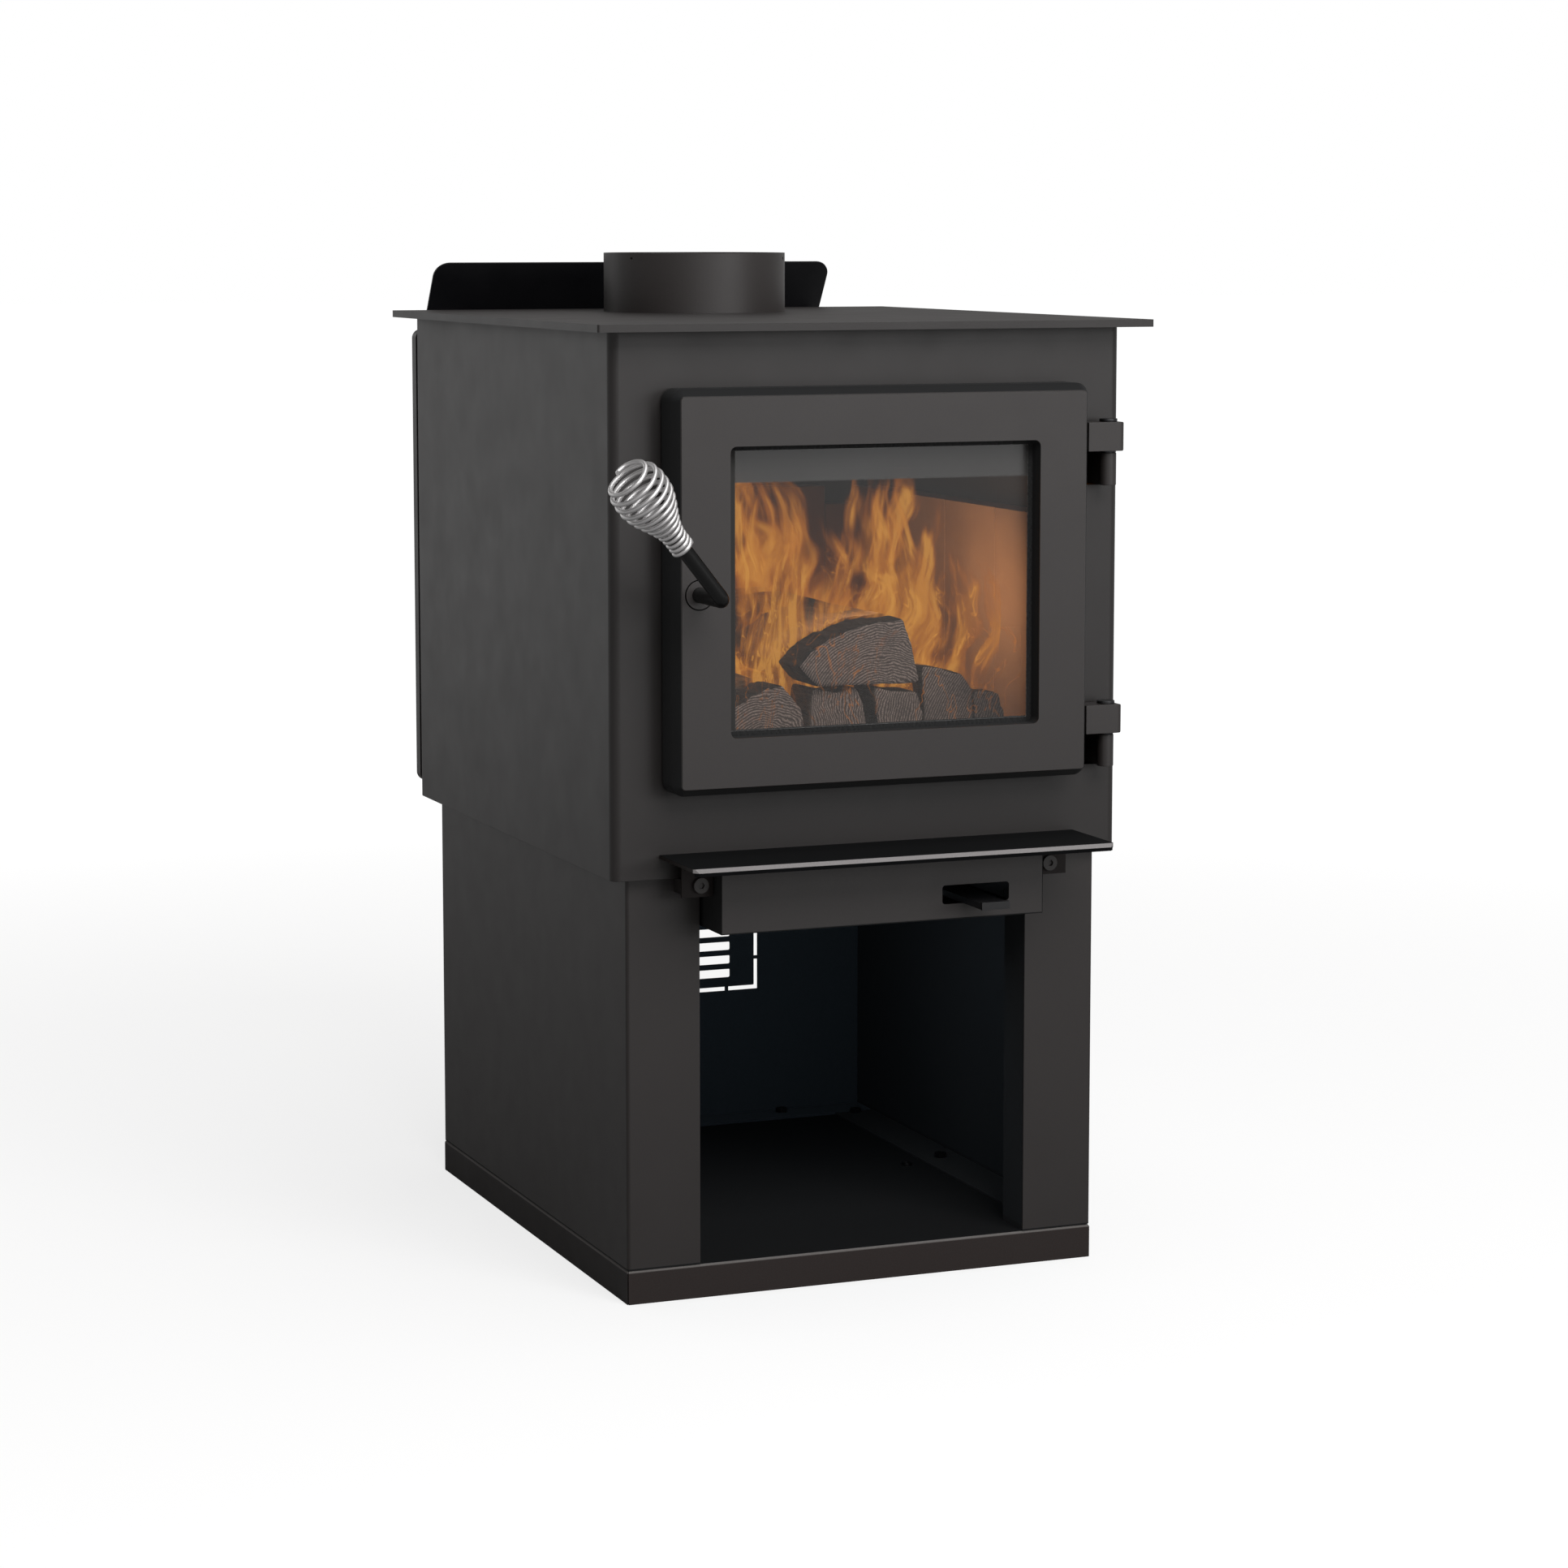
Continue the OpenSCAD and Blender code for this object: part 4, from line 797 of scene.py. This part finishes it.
def split_log(name, outline, bark, y_front, length, turn, heart, seed):
    """A split log lying front to back.

    outline is the cross section as (x, z) in mm, bark the indexes of outline sides that are bark, turn its
    heading in degrees, and heart the (x, z) of its growth rings' centre. Its own origin is on the heart line.
    """
    per_side = 14
    rings = 56
    section = []
    kinds = []
    for i, (x, z) in enumerate(outline):
        nx, nz = outline[(i + 1) % len(outline)]
        for k in range(per_side):
            t = k / per_side
            section.append(Vector((x + (nx - x) * t, z + (nz - z) * t)) * MM)
            kinds.append(i in bark)
    for _ in range(2):
        section = [(section[i - 1] + section[i] * 2 + section[(i + 1) % len(section)]) / 4
                   for i in range(len(section))]
    heart = Vector(heart) * MM
    middle = sum(section, Vector((0, 0))) / len(section)
    around = len(section)
    shift = Vector((seed * 1.7, seed * 0.9, seed * 2.3))
    verts = []
    for j in range(rings + 1):
        t = j / rings
        along = t * length
        end = min(t, 1 - t) * length
        trim = 1 - 0.012 * smoothstep(5 * MM - end, 0, 5 * MM)
        for i, flat_point in enumerate(section):
            out = flat_point - middle
            where = Vector((flat_point.x * 90, flat_point.y * 90, along * 9)) + shift
            ridges = noise.noise(where) * 1.8 + noise.noise(where * 3) * 0.8
            knots = noise.noise(Vector((flat_point.x * 24, flat_point.y * 24, along * 14)) + shift) * 1.2
            push = (ridges * (1.2 if kinds[i] else 0.5) + knots - 0.9) * MM
            p = middle + out * trim + out.normalized() * push
            verts.append((p.x - heart.x, p.y - heart.y, -along))
    faces = []
    materials = []
    for j in range(rings):
        for i in range(around):
            n = (i + 1) % around
            faces.append((j * around + i, j * around + n, (j + 1) * around + n, (j + 1) * around + i))
            materials.append(1 if kinds[i] else 2)
    end_layers = 8
    # Both ends are closed by shrinking rings, roughened a little inwards.
    for base, facing in ((0, 1), (rings * around, -1)):
        previous = [base + i for i in range(around)]
        for layer in range(1, end_layers):
            shrink = 1 - layer / end_layers
            start = len(verts)
            for i in range(around):
                bx, by, bz = verts[base + i]
                x = middle.x - heart.x + (bx - middle.x + heart.x) * shrink
                y = middle.y - heart.y + (by - middle.y + heart.y) * shrink
                rough = noise.noise(Vector((x * 60, y * 60, bz * 5)) + shift) * 1.2 * MM
                verts.append((x, y, bz - facing * abs(rough)))
            current = [start + i for i in range(around)]
            for i in range(around):
                n = (i + 1) % around
                quad = (previous[n], previous[i], current[i], current[n])
                faces.append(quad if facing == 1 else quad[::-1])
                materials.append(0)
            previous = current
        centre = len(verts)
        verts.append((middle.x - heart.x, middle.y - heart.y, verts[base][2] - facing * 0.6 * MM))
        for i in range(around):
            n = (i + 1) % around
            triangle = (previous[n], previous[i], centre)
            faces.append(triangle if facing == 1 else triangle[::-1])
            materials.append(0)
    log = new_object(name, verts, faces)
    for material in (END_GRAIN, BARK, SPLIT):
        log.data.materials.append(material.material)
    log.data.polygons.foreach_set("material_index", materials)
    upright = Matrix.Rotation(math.pi / 2, 4, "X")
    aim = Matrix.Rotation(math.radians(turn), 4, "Z")
    front = Matrix.Translation((0, y_front, 0))
    log.matrix_world = front @ aim @ Matrix.Translation((heart.x, 0, heart.y)) @ upright
    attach(log, "stove")
    return log


def firewood():
    """Five split logs side by side on the floor bricks and one across their tops."""
    logs = [
        split_log("log_left", [(-118, 421), (-46, 421), (-34, 449), (-37, 468), (-54, 488), (-68, 488),
                               (-84, 480), (-106, 468)],
                  (4, 5, 6), -206 * MM, 330 * MM, 2, (-70, 428), 1),
        split_log("log_middle_left", [(-33, 421), (24, 421), (18, 470), (10, 484), (-6, 480), (-29, 485)],
                  (), -204 * MM, 320 * MM, 0, (-190, 450), 2),
        split_log("log_middle_right", [(30, 421), (66, 421), (70, 462), (63, 478), (42, 480), (24, 484)],
                  (2,), -208 * MM, 330 * MM, 0, (210, 430), 3),
        split_log("log_right", [(74, 421), (118, 421), (117, 476), (107, 490), (89, 496), (70, 499)],
                  (2, 3), -200 * MM, 340 * MM, 0, (225, 395), 4),
        split_log("log_far_right", [(122, 421), (152, 421), (150, 455), (144, 473), (121, 475)],
                  (1, 2), -192 * MM, 310 * MM, 0, (250, 410), 5),
        split_log("log_top", [(-44, 503), (-32, 490), (-26, 485.5), (64, 485.5), (58, 517), (51, 539),
                              (33, 538), (11, 535), (-10, 528), (-32, 516)],
                  (5, 6, 7, 8, 9), -212 * MM, 325 * MM, 0, (30, 456), 6),
    ]
    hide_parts("firewood")


firewood()


# ---- Ash, embers and flames ----


def ash_bed():
    """Uneven bed of ash and coals on the floor bricks, heaped round the logs."""
    x_half = 178 * MM
    y_front = -182 * MM
    y_back = 205 * MM
    across = 90
    deep = 96
    verts = []
    for j in range(deep + 1):
        for i in range(across + 1):
            x = -x_half + 2 * x_half * i / across
            y = y_front + (y_back - y_front) * j / deep
            edge = min(i, across - i, j, deep - j) / 12
            heap = 7 * smoothstep(edge, 0, 1) * (1 + noise.noise(Vector((x * 14, y * 14, 0.5))))
            lumps = 3.2 * noise.noise(Vector((x * 70, y * 70, 3.0))) * smoothstep(edge, 0, 0.6)
            verts.append((x, y, BED + (heap + lumps + 0.4) * MM))
    bed = new_object("ash_bed", verts, grid_faces(across, deep))
    bed.data.materials.append(EMBERS.material)
    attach(bed, "stove")


def flames():
    """Curved sheets of flame at several depths among the logs; the front one has only filaments."""
    random.seed(7)
    depths = (-217, -172, -110, -40, 60, 150)
    across = 36
    high = 24
    low = 424 * MM
    for index, depth in enumerate(depths):
        half = (172 if index > 1 else 150) * MM
        top = (661 if index else 530) * MM
        bow = random.uniform(-14, 14) * MM
        verts = []
        for j in range(high + 1):
            for i in range(across + 1):
                x = -half + 2 * half * i / across
                z = low + (top - low) * j / high
                wave = math.sin(x * 31 + index * 2.1) * 9 * MM + math.sin(z * 42 + index) * 6 * MM
                wave *= 0.15 if index == 0 else 1.0
                verts.append((x, depth * MM + wave + bow * (x / half) ** 2, z))
        sheet = new_object(f"flames_{index + 1}", verts, grid_faces(across, high))
        sheet.data.materials.append((FLAME if index else WISPS).material)
        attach(sheet, "stove")


ash_bed()
flames()


# ---- Floor, light and camera ----


def floor():
    """A pale floor that brightens with distance, like a studio sweep lit from behind."""
    size = 40.0
    corners = [(-size, -size, 0), (size, -size, 0), (size, size, 0), (-size, size, 0)]
    ground = new_object("studio_floor", corners, [(0, 1, 2, 3)], smooth=False)
    s = Shader("studio_floor")
    away = s.add("ShaderNodeVectorMath", {0: s.coords}, operation="LENGTH").outputs["Value"]
    sweep = s.span(away, 0.6, 6.5, 0.0, 1.0, smooth=True)
    s.set(Base_Color=s.ramp(sweep, (0.0, (0.24, 0.24, 0.24)), (1.0, (0.10, 0.10, 0.10))), Roughness=1.0)
    s.set(Specular_IOR_Level=0.0, Emission_Color=(1.0, 1.0, 1.0))
    seen = s.add("ShaderNodeLightPath").outputs["Is Camera Ray"]
    lit = s.span(sweep, 0.0, 1.0, 0.02, 0.76)
    shown = s.span(sweep, 0.0, 0.35, 0.74, 1.0)
    strength = s.math("ADD", s.math("MULTIPLY", seen, shown),
                      s.math("MULTIPLY", s.math("SUBTRACT", 1.0, seen), lit))
    s.set(Emission_Strength=strength)
    ground.data.materials.append(s.material)


def area_light(name, place, aim, size, power, colour=(1, 1, 1), hidden=True):
    """A soft rectangular lamp. hidden keeps the lamp itself out of the picture."""
    data = bpy.data.lights.new(name, "AREA")
    data.shape = "RECTANGLE"
    data.size, data.size_y = size
    data.energy = power
    data.color = colour
    light = bpy.data.objects.new(name, data)
    light.location = place
    light.rotation_euler = (Vector(aim) - Vector(place)).to_track_quat("-Z", "Y").to_euler()
    light.visible_camera = not hidden
    bpy.context.scene.collection.objects.link(light)


def studio():
    """A white surround that is dimmer on the stove's left, soft lamps, and a glow for the fire."""
    world = bpy.data.worlds.new("studio")
    bpy.context.scene.world = world
    world.use_nodes = True
    tree = world.node_tree
    seen = tree.nodes["Background"]
    lighting = tree.nodes.new("ShaderNodeBackground")
    lighting.inputs["Color"].default_value = (1.0, 0.985, 0.975, 1.0)
    heading = tree.nodes.new("ShaderNodeSeparateXYZ")
    tree.links.new(tree.nodes.new("ShaderNodeTexCoord").outputs["Generated"], heading.inputs[0])
    flag = tree.nodes.new("ShaderNodeMapRange")
    for socket, value in (("From Min", -1.0), ("From Max", -0.5), ("To Min", 0.14), ("To Max", 0.30)):
        flag.inputs[socket].default_value = value
    tree.links.new(heading.outputs["X"], flag.inputs["Value"])
    tree.links.new(flag.outputs[0], lighting.inputs["Strength"])
    seen.inputs["Color"].default_value = (1, 1, 1, 1)
    choose = tree.nodes.new("ShaderNodeMixShader")
    path = tree.nodes.new("ShaderNodeLightPath")
    tree.links.new(path.outputs["Is Camera Ray"], choose.inputs[0])
    tree.links.new(lighting.outputs[0], choose.inputs[1])
    tree.links.new(seen.outputs[0], choose.inputs[2])
    tree.links.new(choose.outputs[0], tree.nodes["World Output"].inputs["Surface"])
    middle = (0, 0, 0.45)
    area_light("key", (0.2, -3.0, 2.9), middle, (2.6, 1.8), 115, hidden=False)
    area_light("front_right", (2.6, -5.0, 1.5), middle, (3.0, 1.8), 60, hidden=False)
    area_light("back_left", (-2.2, 4.2, 1.9), middle, (2.4, 1.6), 17)
    area_light("overhead", (0.5, -0.3, 3.2), middle, (2.0, 2.0), 30)
    area_light("store_fill", (0.0, -0.10, 0.33), (0.0, 0.1, 0.0), (0.22, 0.16), 0.5, (0.75, 0.88, 1.0))
    area_light("fire_front", (0.0, -0.16, 0.56), (0.0, 0.2, 0.50), (0.26, 0.06), 0.8, (1.0, 0.60, 0.30))
    bpy.context.scene.view_settings.view_transform = "Standard"


def camera():
    """The picture's viewpoint: from the front left and above, looking a little down."""
    data = bpy.data.cameras.new("camera")
    data.lens = 91.439
    data.sensor_width = 36.0
    data.shift_y = -0.05
    data.clip_end = 100.0
    cam = bpy.data.objects.new("camera", data)
    cam.location = (-1.24515, -3.17653, 0.85844)
    cam.rotation_euler = (math.radians(90 - 6.8923), 0.0, math.radians(-21.8616))
    bpy.context.scene.collection.objects.link(cam)
    bpy.context.scene.camera = cam


floor()
studio()
camera()
